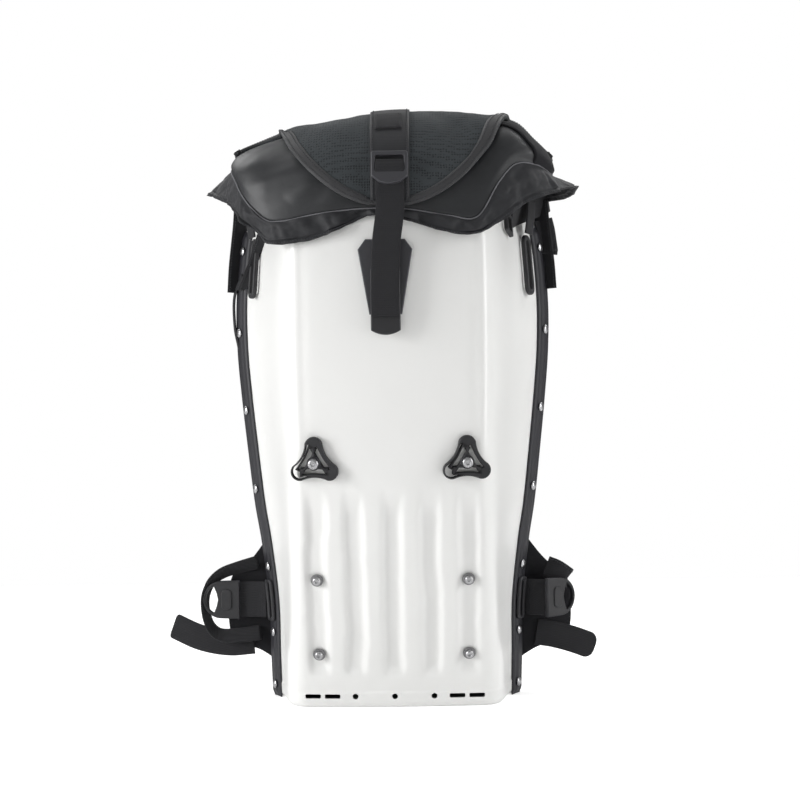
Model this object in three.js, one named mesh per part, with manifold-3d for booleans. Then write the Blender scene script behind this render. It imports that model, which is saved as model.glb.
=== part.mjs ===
// A hard shell backpack, standing upright on its flat base. Millimetres, +Z up, front towards -Y.
import * as THREE from "three";
import { mergeVertices } from "three/addons/utils/BufferGeometryUtils.js";
import Module from "manifold-3d";

const wasm = await Module();
wasm.setup();

// Clearances
const SEAT = 0.4; // between a piece and what it rests on
const WELD = 1e-3;

// Shell
const SHELL_HEIGHT = 470;
const SHELL_WIDTH = 290; // across the rims where they are widest
const SHELL_DEPTH = 150;
const SHELL_WALL = 3;
const FRONT_HALF = 80; // half width of the flat front, up to the soft creases
const FRONT_CROWN = 0.05; // how far the front falls back at the creases, a share of the depth
const RIM_FLARE = THREE.MathUtils.degToRad(33); // slant of the side wall at the rim
const RIM_REACH = 0.47; // length of the slanted stretch, a share of the depth
const BASE_FILLET = 6;

// up is a share of SHELL_HEIGHT, wide of half SHELL_WIDTH, deep of SHELL_DEPTH. full says how far
// the front runs on beyond its crease before it turns, a share of the run from crease to rim
const SHELL_PROFILE = [
  { up: 0, wide: 0.793, deep: 0.53, full: 0.85 },
  { up: 0.09, wide: 0.803, deep: 0.63, full: 0.8 },
  { up: 0.19, wide: 0.81, deep: 0.725, full: 0.68 },
  { up: 0.31, wide: 0.855, deep: 0.82, full: 0.52 },
  { up: 0.39, wide: 0.897, deep: 0.872, full: 0.44 },
  { up: 0.5, wide: 0.938, deep: 0.93, full: 0.4 },
  { up: 0.6, wide: 0.972, deep: 0.968, full: 0.4 },
  { up: 0.7, wide: 0.998, deep: 0.99, full: 0.4 },
  { up: 0.8, wide: 1, deep: 1, full: 0.4 },
  { up: 0.915, wide: 0.966, deep: 0.985, full: 0.4 },
  { up: 1, wide: 0.903, deep: 0.95, full: 0.4 },
];

// Grooves pressed into the lower front
const GROOVE_COUNT = 5;
const GROOVE_PITCH = 34;
const GROOVE_WIDTH = 18;
const GROOVE_DEPTH = 4;
const GROOVE_BOTTOM = 34;
const GROOVE_TOP = 190;
const GROOVE_FADE = 16;

// Slots and holes along the foot of the front
const SLOT_HEIGHT = 11; // centre above the base
const SLOT_LENGTH = 14;
const SLOT_TALL = 4;
const SLOT_CENTRES = [57, 75];
const HOLE_DIAMETER = 5.5;
const HOLE_PITCH = 36;

// Edge trim that binds the shell and the back panel
const TRIM_WIDTH = 17;
const TRIM_THICK = 2.5;
const TRIM_LIP = 11;
const TRIM_TOP = 0.94; // share of SHELL_HEIGHT

// Rivets through each trim, as shares of SHELL_HEIGHT
const RIVET_DIAMETER = 8;
const RIVET_TALL = 2;
const LOOSE_SEAT = 0.85; // under a flat piece that lies on a curved one
const RIVET_HEIGHTS = [0.025, 0.13, 0.262, 0.42, 0.579, 0.735, 0.9];

// Back panel and its pads
const PANEL_THICK = 6;
const PANEL_INSET = 3;
const LUMBAR_WIDTH = 170;
const LUMBAR_HEIGHT = 96;
const LUMBAR_THICK = 20;
const LUMBAR_UP = 0.16;
const BACK_PAD_WIDTH = 78;
const BACK_PAD_HEIGHT = 230;
const BACK_PAD_THICK = 14;
const BACK_PAD_UP = 0.61;
const BACK_PAD_GAP = 22;

// Shoulder straps: along is a share of the run, out a share of STRAP_REACH
const STRAP_WIDTH = 58;
const STRAP_THICK = 10;
const STRAP_REACH = 44;
const STRAP_SKEW = 0.12; // rise of its width across the back
const STRAP_ROUTE = [
  { across: 0.3, up: 0.955, out: 0 },
  { across: 0.31, up: 0.95, out: 0.42 },
  { across: 0.35, up: 0.88, out: 0.82 },
  { across: 0.43, up: 0.72, out: 1 },
  { across: 0.53, up: 0.56, out: 0.93 },
  { across: 0.62, up: 0.42, out: 0.66 },
];
const LOWER_WEBBING_WIDTH = 25;
const LOWER_WEBBING_FOOT = 0.3;
const WEBBING_THICK = 1.6;

// Lid: cover with a dome and a skirt, in plan a rounded oblong round LID_SHIFT
const LID_RISE = 92; // tallest point of the dome above the shell
const LID_WIDTH = 292;
const LID_PAST = 25; // how much deeper the lid is than the shell
const LID_DEPTH = SHELL_DEPTH + LID_PAST;
const LID_OVERHANG = 3.2; // how far the lid stands ahead of the shell's front
const LID_SHIFT = 3;
const LID_CLOTH = 2;
const LID_PLAN_POWER = 3;
const LID_DOME_POWER = 2.6;
const LID_DROP = 52; // how far the lowest hem hangs below the shell's top
const EAR_REACH = 24; // how far the side corners of the skirt stick out

// turn is in degrees from the right side, by way of the back. pipe and hem are shares of LID_DROP,
// measured from the shell's top, and flare is a share of EAR_REACH
const LID_EDGE = [
  { turn: 0, pipe: 0.56, hem: 0.06, flare: 1 },
  { turn: 14, pipe: 0.52, hem: -0.02, flare: 0.9 },
  { turn: 40, pipe: 0.42, hem: -0.08, flare: 0.72 },
  { turn: 90, pipe: 0.32, hem: -0.2, flare: 0.25 },
  { turn: 140, pipe: 0.42, hem: -0.08, flare: 0.72 },
  { turn: 166, pipe: 0.5, hem: 0.02, flare: 0.9 },
  { turn: 180, pipe: 0.46, hem: 0.04, flare: 1 },
  { turn: 196, pipe: 0.24, hem: -0.22, flare: 0.5 },
  { turn: 214, pipe: -0.2, hem: -0.62, flare: 0.2 },
  { turn: 229, pipe: -0.58, hem: -0.97, flare: 0.12 },
  { turn: 248, pipe: -0.46, hem: -0.86, flare: 0.1 },
  { turn: 262, pipe: -0.4, hem: -0.56, flare: 0.08 },
  { turn: 276, pipe: -0.42, hem: -0.6, flare: 0.08 },
  { turn: 290, pipe: -0.5, hem: -0.86, flare: 0.1 },
  { turn: 307, pipe: -0.56, hem: -0.95, flare: 0.12 },
  { turn: 322, pipe: -0.1, hem: -0.62, flare: 0.18 },
  { turn: 338, pipe: 0.44, hem: -0.12, flare: 0.42 },
];

// How high the dome stands across the lid, as a share of LID_RISE
const LID_CROWN = [
  { across: -1, rise: 0.56 },
  { across: -0.65, rise: 0.62 },
  { across: -0.35, rise: 0.7 },
  { across: 0, rise: 0.74 },
  { across: 0.35, rise: 0.8 },
  { across: 0.78, rise: 1 },
  { across: 1, rise: 1.02 },
];

// Flap over the lid
const FLAP_THICK = 3;
const FLAP_LIFT = 3.6;
const FLAP_WIDTH = 284;
const FLAP_TIP = 20; // how far its tip hangs below the shell's top
const FLAP_SIDE = 97; // where its front edge crosses the top of the dome
const FLAP_CLIMB = 64; // how far the edge climbs from the tip to there
const FLAP_BACK = THREE.MathUtils.degToRad(-66);
const FLAP_CORNER = THREE.MathUtils.degToRad(-14);

// Closure: strip on the flap, ladder lock, webbing, hook and latch plate
const STRIP_WIDTH = 34;
const STRIP_THICK = 1.2;
const LOCK_WIDTH = 32;
const LOCK_TALL = 28;
const LOCK_THICK = 5;
const LOCK_BAR = 3.5;
const LOCK_DROP = -12; // centre below the shell's top
const CLOSURE_WIDTH = 25;
const CLOSURE_END = 116; // end of the webbing below the shell's top
const LATCH_WIDTH = 48;
const LATCH_TALL = 66;
const LATCH_THICK = 4;
const LATCH_DROP = 48;
const LATCH_SHOULDER = 9; // how far its widest place lies below its top
const HOOK_WIDTH = 26;
const HOOK_THICK = 4;
const HOOK_TALL = 58;
const HOOK_END = 132;
const CLOSURE_X = -2;

// Knobs and base screws on the front
const KNOB_APART = 134;
const KNOB_UP = 0.482; // share of SHELL_HEIGHT
const KNOB_ARM = 15.5;
const KNOB_CORNER = 8;
const KNOB_THICK = 7;
const KNOB_WAIST = 5.5; // how far each side is drawn in
const KNOB_SLOT = 3;
const KNOB_SCREW = 10;
const BASE_SCREWS_UP = [0.108, 0.255];
const SCREW_HEAD = 7.5;
const SCREW_TALL = 3.5;
const WASHER_DIAMETER = 11.5;
const WASHER_THICK = 1.6;

// Hip belt
const WING_TOP = 0.345; // heights of its root, as shares of SHELL_HEIGHT
const WING_FOOT = 0.05;
const WING_REACH = 66; // beyond the trim
const WING_THICK = 12;
const WING_SWEEP = 8; // how far its tip lies behind its root
const WING_TUCK = 8; // how far its root reaches in behind the trim
const WING_ROUND = 10; // rounding of its tip
const BELT_UP = 0.194;
const BELT_WIDTH = 34;
const BELT_RUN = { left: 20, right: 12 }; // webbing that shows between the frame and the buckle
const BELT_LAP = 6; // how far the webbing starts beside the trim
const BELT_SLACK = 3; // how far ahead of the wing it lies
const BUCKLE_LENGTH = 36;
const BUCKLE_CORNER = 12;
const BUCKLE_HOLE_WIDTH = 12;
const BUCKLE_HOLE_TALL = 20;
const BUCKLE_HOLE_CORNER = 5;
const BUCKLE_THICK = 5;
const FRAME_LENGTH = 12;
const FRAME_BAR = 2.5;
const TAIL_WIDTH = 25;
const TAIL_REACH = { left: 84, right: 70 }; // how far the loose tail runs beyond the frame

// out and the heights of either tail are shares of TAIL_REACH, the heights measured from the belt
const BELT_TAIL = [
  { out: 0.12, left: -0.47, right: -0.49 },
  { out: 0.4, left: -0.49, right: -0.49 },
  { out: 0.7, left: -0.44, right: -0.54 },
  { out: 1, left: -0.32, right: -0.63 },
];

// Upper side hooks with their webbing
const SIDE_HOOK_LENGTH = 56;
const SIDE_HOOK_WIDTH = 17;
const SIDE_HOOK_THICK = 4.5;
const SIDE_HOOK_BAR = 4;
const SIDE_HOOK_UP = 0.86;
const SIDE_HOOK_SHARE = 0.8; // how far along the side wall from crease to rim
const SIDE_HOOK_LIFT = 1.3;
const SIDE_WEBBING_WIDTH = 20;
const SIDE_WEBBING_RUN = 30;

const { lerp, clamp, smoothstep, degToRad } = THREE.MathUtils;
const point = (x, y, z) => new THREE.Vector3(x, y, z);
const group = new THREE.Group();

const FINISHES = {
  white_shell: { color: 0xe8e8e6, roughness: 0.38, metalness: 0 },
  trim: { color: 0x24252a, roughness: 0.6, metalness: 0 },
  steel: { color: 0xc9cacd, roughness: 0.3, metalness: 1 },
  black_plastic: { color: 0x1c1c1e, roughness: 0.45, metalness: 0 },
  webbing: { color: 0x2c2d30, roughness: 0.85, metalness: 0 },
  coated_cloth: { color: 0x2b2d30, roughness: 0.42, metalness: 0 },
  skirt_cloth: { color: 0x37383c, roughness: 0.75, metalness: 0 },
  flap_mesh: { color: 0x2a3134, roughness: 0.9, metalness: 0 },
  padding: { color: 0x222326, roughness: 0.9, metalness: 0 },
};

// Reads a column of a table at a place, along a smooth curve through the rows.
function through(rows, at, column, x, period = 0) {
  const last = rows.length - 1;
  const row = (i) => {
    if (!period) return rows[clamp(i, 0, last)];
    const turns = Math.floor(i / rows.length);
    const base = rows[i - turns * rows.length];
    return { [at]: base[at] + turns * period, [column]: base[column] };
  };
  let i = period ? -1 : 0;
  const stop = period ? last : last - 1;
  while (i < stop && row(i + 1)[at] <= x) i += 1;
  const span = row(i + 1)[at] - row(i)[at];
  const share = clamp((x - row(i)[at]) / span, 0, 1);
  const slope = (k) => {
    const width = row(k + 1)[at] - row(k - 1)[at];
    return width ? ((row(k + 1)[column] - row(k - 1)[column]) / width) * span : 0;
  };
  const a = row(i)[column];
  const b = row(i + 1)[column];
  const square = share * share;
  const cube = square * share;
  return (
    (2 * cube - 3 * square + 1) * a +
    (cube - 2 * square + share) * slope(i) +
    (3 * square - 2 * cube) * b +
    (cube - square) * slope(i + 1)
  );
}

// Welds the points, drops the faces that have no area and turns the faces outward.
function bodyFrom(points, faces) {
  const loose = new THREE.BufferGeometry();
  loose.setAttribute("position", new THREE.Float32BufferAttribute(points.flatMap((p) => p.toArray()), 3));
  loose.setIndex(faces.flat());
  const welded = mergeVertices(loose, WELD);
  const index = Array.from(welded.index.array);
  const position = welded.attributes.position;
  const kept = [];
  let volume = 0;
  const [a, b, c] = [point(0, 0, 0), point(0, 0, 0), point(0, 0, 0)];
  for (let i = 0; i < index.length; i += 3) {
    const corner = index.slice(i, i + 3);
    if (new Set(corner).size < 3) continue;
    [a, b, c].forEach((v, k) => v.fromBufferAttribute(position, corner[k]));
    volume += a.dot(b.cross(c));
    kept.push(corner);
  }
  const outward = volume > 0 ? kept : kept.map(([p, q, r]) => [p, r, q]);
  welded.setIndex(outward.flat());
  return welded;
}

// A closed body between an outer and an inner grid of points, with a rim along every open edge.
function thickSheet(columns, rows, outer, inner, ring = false) {
  const points = [];
  for (const side of [outer, inner]) {
    for (const v of rows) for (const u of columns) points.push(side(u, v));
  }
  const nu = columns.length;
  const nv = rows.length;
  const at = (side, i, j) => side * nu * nv + j * nu + (i % nu);
  const faces = [];
  const quad = (a, b, c, d) => faces.push([a, b, c], [a, c, d]);
  const spans = ring ? nu : nu - 1;
  for (let j = 0; j + 1 < nv; j += 1) {
    for (let i = 0; i < spans; i += 1) {
      quad(at(0, i, j), at(0, i + 1, j), at(0, i + 1, j + 1), at(0, i, j + 1));
      quad(at(1, i, j), at(1, i, j + 1), at(1, i + 1, j + 1), at(1, i + 1, j));
    }
    if (!ring) {
      quad(at(0, 0, j), at(0, 0, j + 1), at(1, 0, j + 1), at(1, 0, j));
      quad(at(0, nu - 1, j), at(1, nu - 1, j), at(1, nu - 1, j + 1), at(0, nu - 1, j + 1));
    }
  }
  for (let i = 0; i < spans; i += 1) {
    quad(at(0, i, 0), at(1, i, 0), at(1, i + 1, 0), at(0, i + 1, 0));
    quad(at(0, i, nv - 1), at(0, i + 1, nv - 1), at(1, i + 1, nv - 1), at(1, i, nv - 1));
  }
  return bodyFrom(points, faces);
}

const steps = (count, from = 0, to = 1) =>
  Array.from({ length: count + 1 }, (_, i) => lerp(from, to, i / count));

// The unit normal of a surface by small steps of its two coordinates.
function normalAt(surface, u, v, step = 1e-3) {
  const along = surface(u + step, v).sub(surface(u - step, v));
  const up = surface(u, v + step).sub(surface(u, v - step));
  return along.cross(up).normalize();
}

// A strap along a route: across(v) gives the direction of its width.
function ribbon(route, width, thick, across, count) {
  const curve = new THREE.CatmullRomCurve3(route);
  const place = (u, v, side) => {
    const wide = across(v).clone().normalize();
    const normal = curve.getTangentAt(v).cross(wide).normalize();
    const span = typeof width === "function" ? width(v) : width;
    return curve.getPointAt(v).addScaledVector(wide, u * span).addScaledVector(normal, (side * thick) / 2);
  };
  return thickSheet(
    [-0.5, 0.5],
    steps(count),
    (u, v) => place(u, v, 1),
    (u, v) => place(u, v, -1),
  );
}

function solidOf(geometry) {
  const bare = geometry.clone();
  bare.deleteAttribute("normal");
  bare.deleteAttribute("uv");
  const merged = mergeVertices(bare, WELD);
  return new wasm.Manifold(
    new wasm.Mesh({
      numProp: 3,
      vertProperties: new Float32Array(merged.attributes.position.array),
      triVerts: new Uint32Array(merged.index.array),
    }),
  );
}

function geometryOf(solid) {
  const { vertProperties, triVerts } = solid.getMesh();
  const geometry = new THREE.BufferGeometry();
  geometry.setAttribute("position", new THREE.BufferAttribute(vertProperties, 3));
  geometry.setIndex(new THREE.BufferAttribute(triVerts, 1));
  return geometry;
}

const cut = (geometry, tools) =>
  geometryOf(tools.reduce((solid, tool) => solid.subtract(solidOf(tool)), solidOf(geometry)));

function add(name, geometry, finish, position = point(0, 0, 0), turn = new THREE.Quaternion()) {
  const mesh = new THREE.Mesh(geometry, new THREE.MeshStandardMaterial(FINISHES[finish]));
  mesh.name = name;
  mesh.position.copy(position);
  mesh.quaternion.copy(turn);
  group.add(mesh);
}

// Turns local +Z to a normal, with local +Y as near upward as it goes.
function facing(normal) {
  const ahead = normal.clone().normalize();
  const right = point(0, 0, 1).cross(ahead).normalize();
  const up = ahead.clone().cross(right);
  return new THREE.Quaternion().setFromRotationMatrix(new THREE.Matrix4().makeBasis(right, up, ahead));
}

// A plate cut from an outline, its back on local z = 0.
function plate(shape, thick, segments = 4) {
  return new THREE.ExtrudeGeometry(shape, { depth: thick, bevelEnabled: false, curveSegments: segments });
}

function roundedRectangle(width, tall, radius, hole = null) {
  const outline = (path, w, h, r) => {
    path.moveTo(-w / 2 + r, -h / 2);
    path.lineTo(w / 2 - r, -h / 2);
    path.absarc(w / 2 - r, -h / 2 + r, r, -Math.PI / 2, 0);
    path.lineTo(w / 2, h / 2 - r);
    path.absarc(w / 2 - r, h / 2 - r, r, 0, Math.PI / 2);
    path.lineTo(-w / 2 + r, h / 2);
    path.absarc(-w / 2 + r, h / 2 - r, r, Math.PI / 2, Math.PI);
    path.lineTo(-w / 2, -h / 2 + r);
    path.absarc(-w / 2 + r, -h / 2 + r, r, Math.PI, Math.PI * 1.5);
    return path;
  };
  const shape = outline(new THREE.Shape(), width, tall, radius);
  if (hole) shape.holes.push(outline(new THREE.Path(), hole.width, hole.tall, hole.radius));
  return shape;
}

// The shell's surface

const halfWidthAt = (z) => (SHELL_WIDTH / 2) * through(SHELL_PROFILE, "up", "wide", z / SHELL_HEIGHT);
const fullAt = (z) => through(SHELL_PROFILE, "up", "full", z / SHELL_HEIGHT);
const depthAt = (z) => SHELL_DEPTH * through(SHELL_PROFILE, "up", "deep", z / SHELL_HEIGHT);

function grooveAt(x, z) {
  const window =
    smoothstep(z, GROOVE_BOTTOM - GROOVE_FADE / 2, GROOVE_BOTTOM + GROOVE_FADE / 2) *
    (1 - smoothstep(z, GROOVE_TOP - GROOVE_FADE, GROOVE_TOP + GROOVE_FADE));
  let depth = 0;
  for (let i = 0; i < GROOVE_COUNT; i += 1) {
    const centre = (i - (GROOVE_COUNT - 1) / 2) * GROOVE_PITCH;
    depth += Math.exp(-(((x - centre) / (GROOVE_WIDTH / 2)) ** 6));
  }
  return GROOVE_DEPTH * window * depth;
}

// The front: how far forward it stands at x, with the wall's inner face at inset = SHELL_WALL.
const frontY = (x, z, inset = 0) =>
  -(depthAt(z) - inset) * (1 - FRONT_CROWN * (x / FRONT_HALF) ** 2) + grooveAt(x, z);

// The side wall, from the crease at share 0 to the rim at share 1, for the right side.
function sideAt(share, z, inset = 0) {
  const rim = halfWidthAt(z) - inset / Math.cos(RIM_FLARE);
  const crease = FRONT_HALF - inset * 0.3;
  const reach = RIM_REACH * (depthAt(z) - inset);
  const run = rim - crease;
  const start = new THREE.Vector2(crease, -(depthAt(z) - inset) * (1 - FRONT_CROWN));
  const curve = new THREE.CubicBezierCurve(
    start,
    new THREE.Vector2(crease + fullAt(z) * run, start.y + 0.12 * run),
    new THREE.Vector2(rim - reach * Math.sin(RIM_FLARE), -reach * Math.cos(RIM_FLARE)),
    new THREE.Vector2(rim, 0),
  );
  return curve.getPoint(share);
}

// The share of the side wall where the trim starts at a height.
const trimStart = (z) => 1 - TRIM_WIDTH / (3 * RIM_REACH * depthAt(z));

// s runs from the left rim at -2 through the creases at -1 and 1 to the right rim at 2. The trims
// start at TRIM_LINE from either side.
const TRIM_LINE = 1.7;

function shellSection(s, z, inset = 0) {
  if (Math.abs(s) <= 1) {
    const x = s * (FRONT_HALF - inset * 0.3);
    return new THREE.Vector2(x, frontY(x, z, inset));
  }
  const along = Math.abs(s);
  const start = trimStart(z);
  const share =
    along < TRIM_LINE
      ? ((along - 1) / (TRIM_LINE - 1)) * start
      : lerp(start, 1, (along - TRIM_LINE) / (2 - TRIM_LINE));
  const side = sideAt(share, z, inset);
  return new THREE.Vector2(Math.sign(s) * side.x, side.y);
}

// v below 0 runs back along the base, 0 to 1 round its fillet, and above 1 it is 1 + height.
function shellPoint(s, v, inset) {
  const radius = BASE_FILLET - inset;
  const angle = clamp(v, 0, 1) * (Math.PI / 2);
  const drawn = inset + (v > 1 ? 0 : radius * (1 - Math.sin(angle)));
  const z = v > 1 ? v - 1 : inset + radius * (1 - Math.cos(angle));
  const flat = shellSection(s, Math.max(z, BASE_FILLET), drawn);
  const y = v < 0 ? flat.y * (1 + v) : flat.y;
  return point(flat.x, y, z);
}

const centres = steps(GROOVE_COUNT - 1, -(GROOVE_COUNT - 1) / 2, (GROOVE_COUNT - 1) / 2);
const grooveColumns = centres.flatMap((k) =>
  [-0.62, -0.36, 0.36, 0.62].map((share) => (k * GROOVE_PITCH + share * GROOVE_WIDTH) / FRONT_HALF),
);
const sideColumns = [1, 1.16, 1.32, 1.5, TRIM_LINE, (TRIM_LINE + 2) / 2, 2];
const shellColumns = [
  ...sideColumns.map((s) => -s).reverse(),
  ...grooveColumns.filter((s) => Math.abs(s) < 0.99),
  ...sideColumns,
];
const wallRows = [
  BASE_FILLET,
  GROOVE_BOTTOM - GROOVE_FADE / 2,
  GROOVE_BOTTOM + GROOVE_FADE / 2,
  ...steps(4, GROOVE_BOTTOM + GROOVE_FADE / 2, GROOVE_TOP - GROOVE_FADE).slice(1),
  GROOVE_TOP,
  GROOVE_TOP + GROOVE_FADE,
  ...steps(6, GROOVE_TOP + GROOVE_FADE, SHELL_HEIGHT).slice(1),
];
const shellRows = [-1, 0, 0.5, ...wallRows.map((z) => 1 + z)];

function shell() {
  const body = thickSheet(
    shellColumns,
    shellRows,
    (s, v) => shellPoint(s, v, 0),
    (s, v) => shellPoint(s, v, SHELL_WALL),
  );
  const deep = SHELL_WALL * 8;
  const place = (tool, x) => tool.translate(x, frontY(x, SLOT_HEIGHT), SLOT_HEIGHT);
  const slots = SLOT_CENTRES.flatMap((x) => [-x, x]).map((x) =>
    place(new THREE.BoxGeometry(SLOT_LENGTH, deep, SLOT_TALL), x),
  );
  const holes = [-1, 0, 1].map((k) =>
    place(new THREE.CylinderGeometry(HOLE_DIAMETER / 2, HOLE_DIAMETER / 2, deep, 10), k * HOLE_PITCH),
  );
  add("shell", cut(body, [...slots, ...holes]), "white_shell");
}

// Edge trims and their rivets

const panelBack = SEAT + PANEL_THICK;

function trimPoint(hand, u, z, cover) {
  const offset = -(SEAT + cover);
  if (u <= 1) {
    const wall = sideAt(lerp(trimStart(z), 1, u), z, offset);
    return point(hand * wall.x, wall.y, z);
  }
  const rim = halfWidthAt(z) - offset / Math.cos(RIM_FLARE);
  const back = panelBack + SEAT + cover;
  const lip = halfWidthAt(z) - TRIM_LIP;
  return u <= 2 ? point(hand * rim, back, z) : point(hand * lip, back, z);
}

function edgeTrim(side, hand) {
  const top = SHELL_HEIGHT * TRIM_TOP;
  const rows = [0, ...wallRows.filter((z) => z < top - GROOVE_FADE / 2), top];
  const geometry = thickSheet(
    [0, 0.5, 1, 2, 3],
    rows,
    (u, z) => trimPoint(hand, u, z, TRIM_THICK),
    (u, z) => trimPoint(hand, u, z, 0),
  );
  add(`edge_trim_${side}`, geometry, "trim");
}

// Where a fastening sits on the trim's outer face, and which way it faces.
function trimSeat(hand, share, lift) {
  const z = share * SHELL_HEIGHT;
  const face = (u, height) => trimPoint(hand, u, height, TRIM_THICK);
  const normal = normalAt(face, 0.5, z, 0.02);
  if (normal.y > 0) normal.negate();
  return { at: face(0.5, z).addScaledVector(normal, lift), normal };
}

function domedHead(diameter, tall) {
  const radius = diameter / 2;
  const profile = [
    [0, 0],
    [radius, 0],
    [radius * 0.94, tall * 0.35],
    [radius * 0.6, tall * 0.85],
    [0, tall],
  ].map(([r, h]) => new THREE.Vector2(r, h));
  return new THREE.LatheGeometry(profile, 8).rotateX(Math.PI / 2);
}

function rivets(side, hand) {
  RIVET_HEIGHTS.forEach((share, i) => {
    const seat = trimSeat(hand, share, LOOSE_SEAT);
    add(`rivet_${side}_${i + 1}`, domedHead(RIVET_DIAMETER, RIVET_TALL), "steel", seat.at, facing(seat.normal));
  });
}

// Back panel, lumbar pad and back pads

function backPanel() {
  const place = (s, z, y) => point(s * (halfWidthAt(z) - PANEL_INSET), y, z);
  const geometry = thickSheet(
    steps(4, -1, 1),
    steps(12, 0, SHELL_HEIGHT),
    (s, z) => place(s, z, panelBack),
    (s, z) => place(s, z, SEAT),
  );
  add("back_panel", geometry, "padding");
}

// A pad with a rounded outline and a crowned face, lying on the back panel.
function backPad(name, x, up, width, tall, thick) {
  const corner = 4;
  const place = (u, v, crown) => {
    const round = (1 - Math.abs(u * v) ** corner * 0.12) * (1 - 0.06 * (u * v) ** 2);
    const rise = (1 - u ** 4) * (1 - v ** 4);
    const y = panelBack + SEAT + (crown ? thick * (0.45 + 0.55 * rise) : 0);
    return point(x + (u * round * width) / 2, y, up * SHELL_HEIGHT + (v * round * tall) / 2);
  };
  const stations = [-1, -0.82, -0.4, 0, 0.4, 0.82, 1];
  add(
    name,
    thickSheet(
      stations,
      stations,
      (u, v) => place(u, v, true),
      (u, v) => place(u, v, false),
    ),
    "padding",
  );
}

// Shoulder straps with the webbing that leads down to the base

function strapRoute(hand) {
  const root = panelBack + LOOSE_SEAT + SEAT;
  return STRAP_ROUTE.map(({ across, up, out }) =>
    point(hand * across * (SHELL_WIDTH / 2), root + out * STRAP_REACH, up * SHELL_HEIGHT),
  );
}

function shoulderStrap(side, hand) {
  const route = strapRoute(hand);
  const width = (v) => STRAP_WIDTH * lerp(1, 0.62, smoothstep(v, 0.55, 1));
  add(
    `shoulder_strap_${side}`,
    ribbon(route, width, STRAP_THICK, () => point(1, 0, hand * STRAP_SKEW), 12),
    "padding",
  );
  const end = route.at(-1);
  const foot = point(
    hand * (halfWidthAt(LOWER_WEBBING_FOOT * SHELL_HEIGHT) - TRIM_LIP - LOWER_WEBBING_WIDTH * 0.8),
    panelBack + SEAT + WEBBING_THICK * 0.6,
    LOWER_WEBBING_FOOT * SHELL_HEIGHT + LOWER_WEBBING_WIDTH * 0.4,
  );
  const away = new THREE.CatmullRomCurve3(route).getTangentAt(1);
  const start = end.clone().addScaledVector(away, LOOSE_SEAT);
  const run = [start, start.clone().addScaledVector(away, STRAP_THICK), start.clone().lerp(foot, 0.6), foot];
  add(
    `strap_webbing_${side}`,
    ribbon(run, LOWER_WEBBING_WIDTH, WEBBING_THICK, (v) => point(1, 0, hand * STRAP_SKEW * (1 - v)), 6),
    "webbing",
  );
}

// The lid's surface

const lidFront = -(depthAt(SHELL_HEIGHT * 0.93) + LID_OVERHANG);
const lidMiddle = lidFront + LID_DEPTH / 2;
const lidEdge = (turn, column) => {
  const degrees = ((THREE.MathUtils.radToDeg(turn) % 360) + 360) % 360;
  return through(LID_EDGE, "turn", column, degrees, 360);
};
const pipeAt = (turn) => SHELL_HEIGHT + LID_DROP * lidEdge(turn, "pipe");
const hemAt = (turn) => SHELL_HEIGHT + LID_DROP * lidEdge(turn, "hem");
const crownAt = (share) => SHELL_HEIGHT + LID_RISE * through(LID_CROWN, "across", "rise", share);

// How far out a direction meets the lid's plan, in a frame where the plan is one unit wide and deep.
const planReach = (turn, grow = 1) =>
  grow / (Math.abs(Math.cos(turn)) ** LID_PLAN_POWER + Math.abs(Math.sin(turn)) ** LID_PLAN_POWER) ** (1 / LID_PLAN_POWER);

function lidPoint(turn, share, inset = 0) {
  const angle = share * (Math.PI / 2);
  const out = planReach(turn, Math.sin(angle) ** (2 / LID_DOME_POWER));
  const across = out * Math.cos(turn);
  const x = LID_SHIFT + across * (LID_WIDTH / 2 - inset);
  const y = lidMiddle + out * Math.sin(turn) * (LID_DEPTH / 2 - inset);
  const pipe = pipeAt(turn);
  const z = pipe + (crownAt(across) - inset - pipe) * Math.cos(angle) ** (2 / LID_DOME_POWER);
  return point(x, y, z);
}

// The dome's height over a point of the plan.
function domeHeight(x, y) {
  const across = (x - LID_SHIFT) / (LID_WIDTH / 2);
  const along = (y - lidMiddle) / (LID_DEPTH / 2);
  const power = LID_PLAN_POWER;
  const out = Math.min(1, (Math.abs(across) ** power + Math.abs(along) ** power) ** (1 / power));
  const rise = (1 - out ** LID_DOME_POWER) ** (1 / LID_DOME_POWER);
  const pipe = pipeAt(Math.atan2(along, across));
  return pipe + (crownAt(across) - pipe) * rise;
}

const lidTurns = steps(40, 0, 2 * Math.PI).slice(0, -1);
const lidRings = [0, 0.18, 0.36, 0.52, 0.68, 0.82, 0.93, 1].map(
  (out) => Math.asin(out ** (LID_DOME_POWER / 2)) / (Math.PI / 2),
);

function lidHood() {
  const geometry = thickSheet(
    lidTurns,
    lidRings,
    (turn, share) => lidPoint(turn, share, 0),
    (turn, share) => lidPoint(turn, share, LID_CLOTH),
    true,
  );
  add("lid_hood", geometry, "coated_cloth");
}

// The skirt: share 0 at the piping, 1 at the hem.
function skirtPoint(turn, share, inset = 0) {
  const top = lidPoint(turn, 1, inset);
  const flare = EAR_REACH * lidEdge(turn, "flare") * share ** 0.8;
  const away = point(Math.cos(turn), Math.sin(turn), 0);
  const gather = 1.2 * Math.sin(turn * 19) * share;
  const z = lerp(top.z - SEAT, hemAt(turn), share);
  return point(top.x, top.y, z).addScaledVector(away, flare + gather);
}

function lidSkirt() {
  const geometry = thickSheet(
    lidTurns,
    [0, 0.35, 0.7, 1],
    (turn, share) => skirtPoint(turn, share, 0),
    (turn, share) => skirtPoint(turn, share, LID_CLOTH),
    true,
  );
  add("lid_skirt", geometry, "skirt_cloth");
}

// The flap: u across from -1 to 1, v from its back edge at 0 to its front edge at 1.
const flapCentre = LID_SHIFT;

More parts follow.
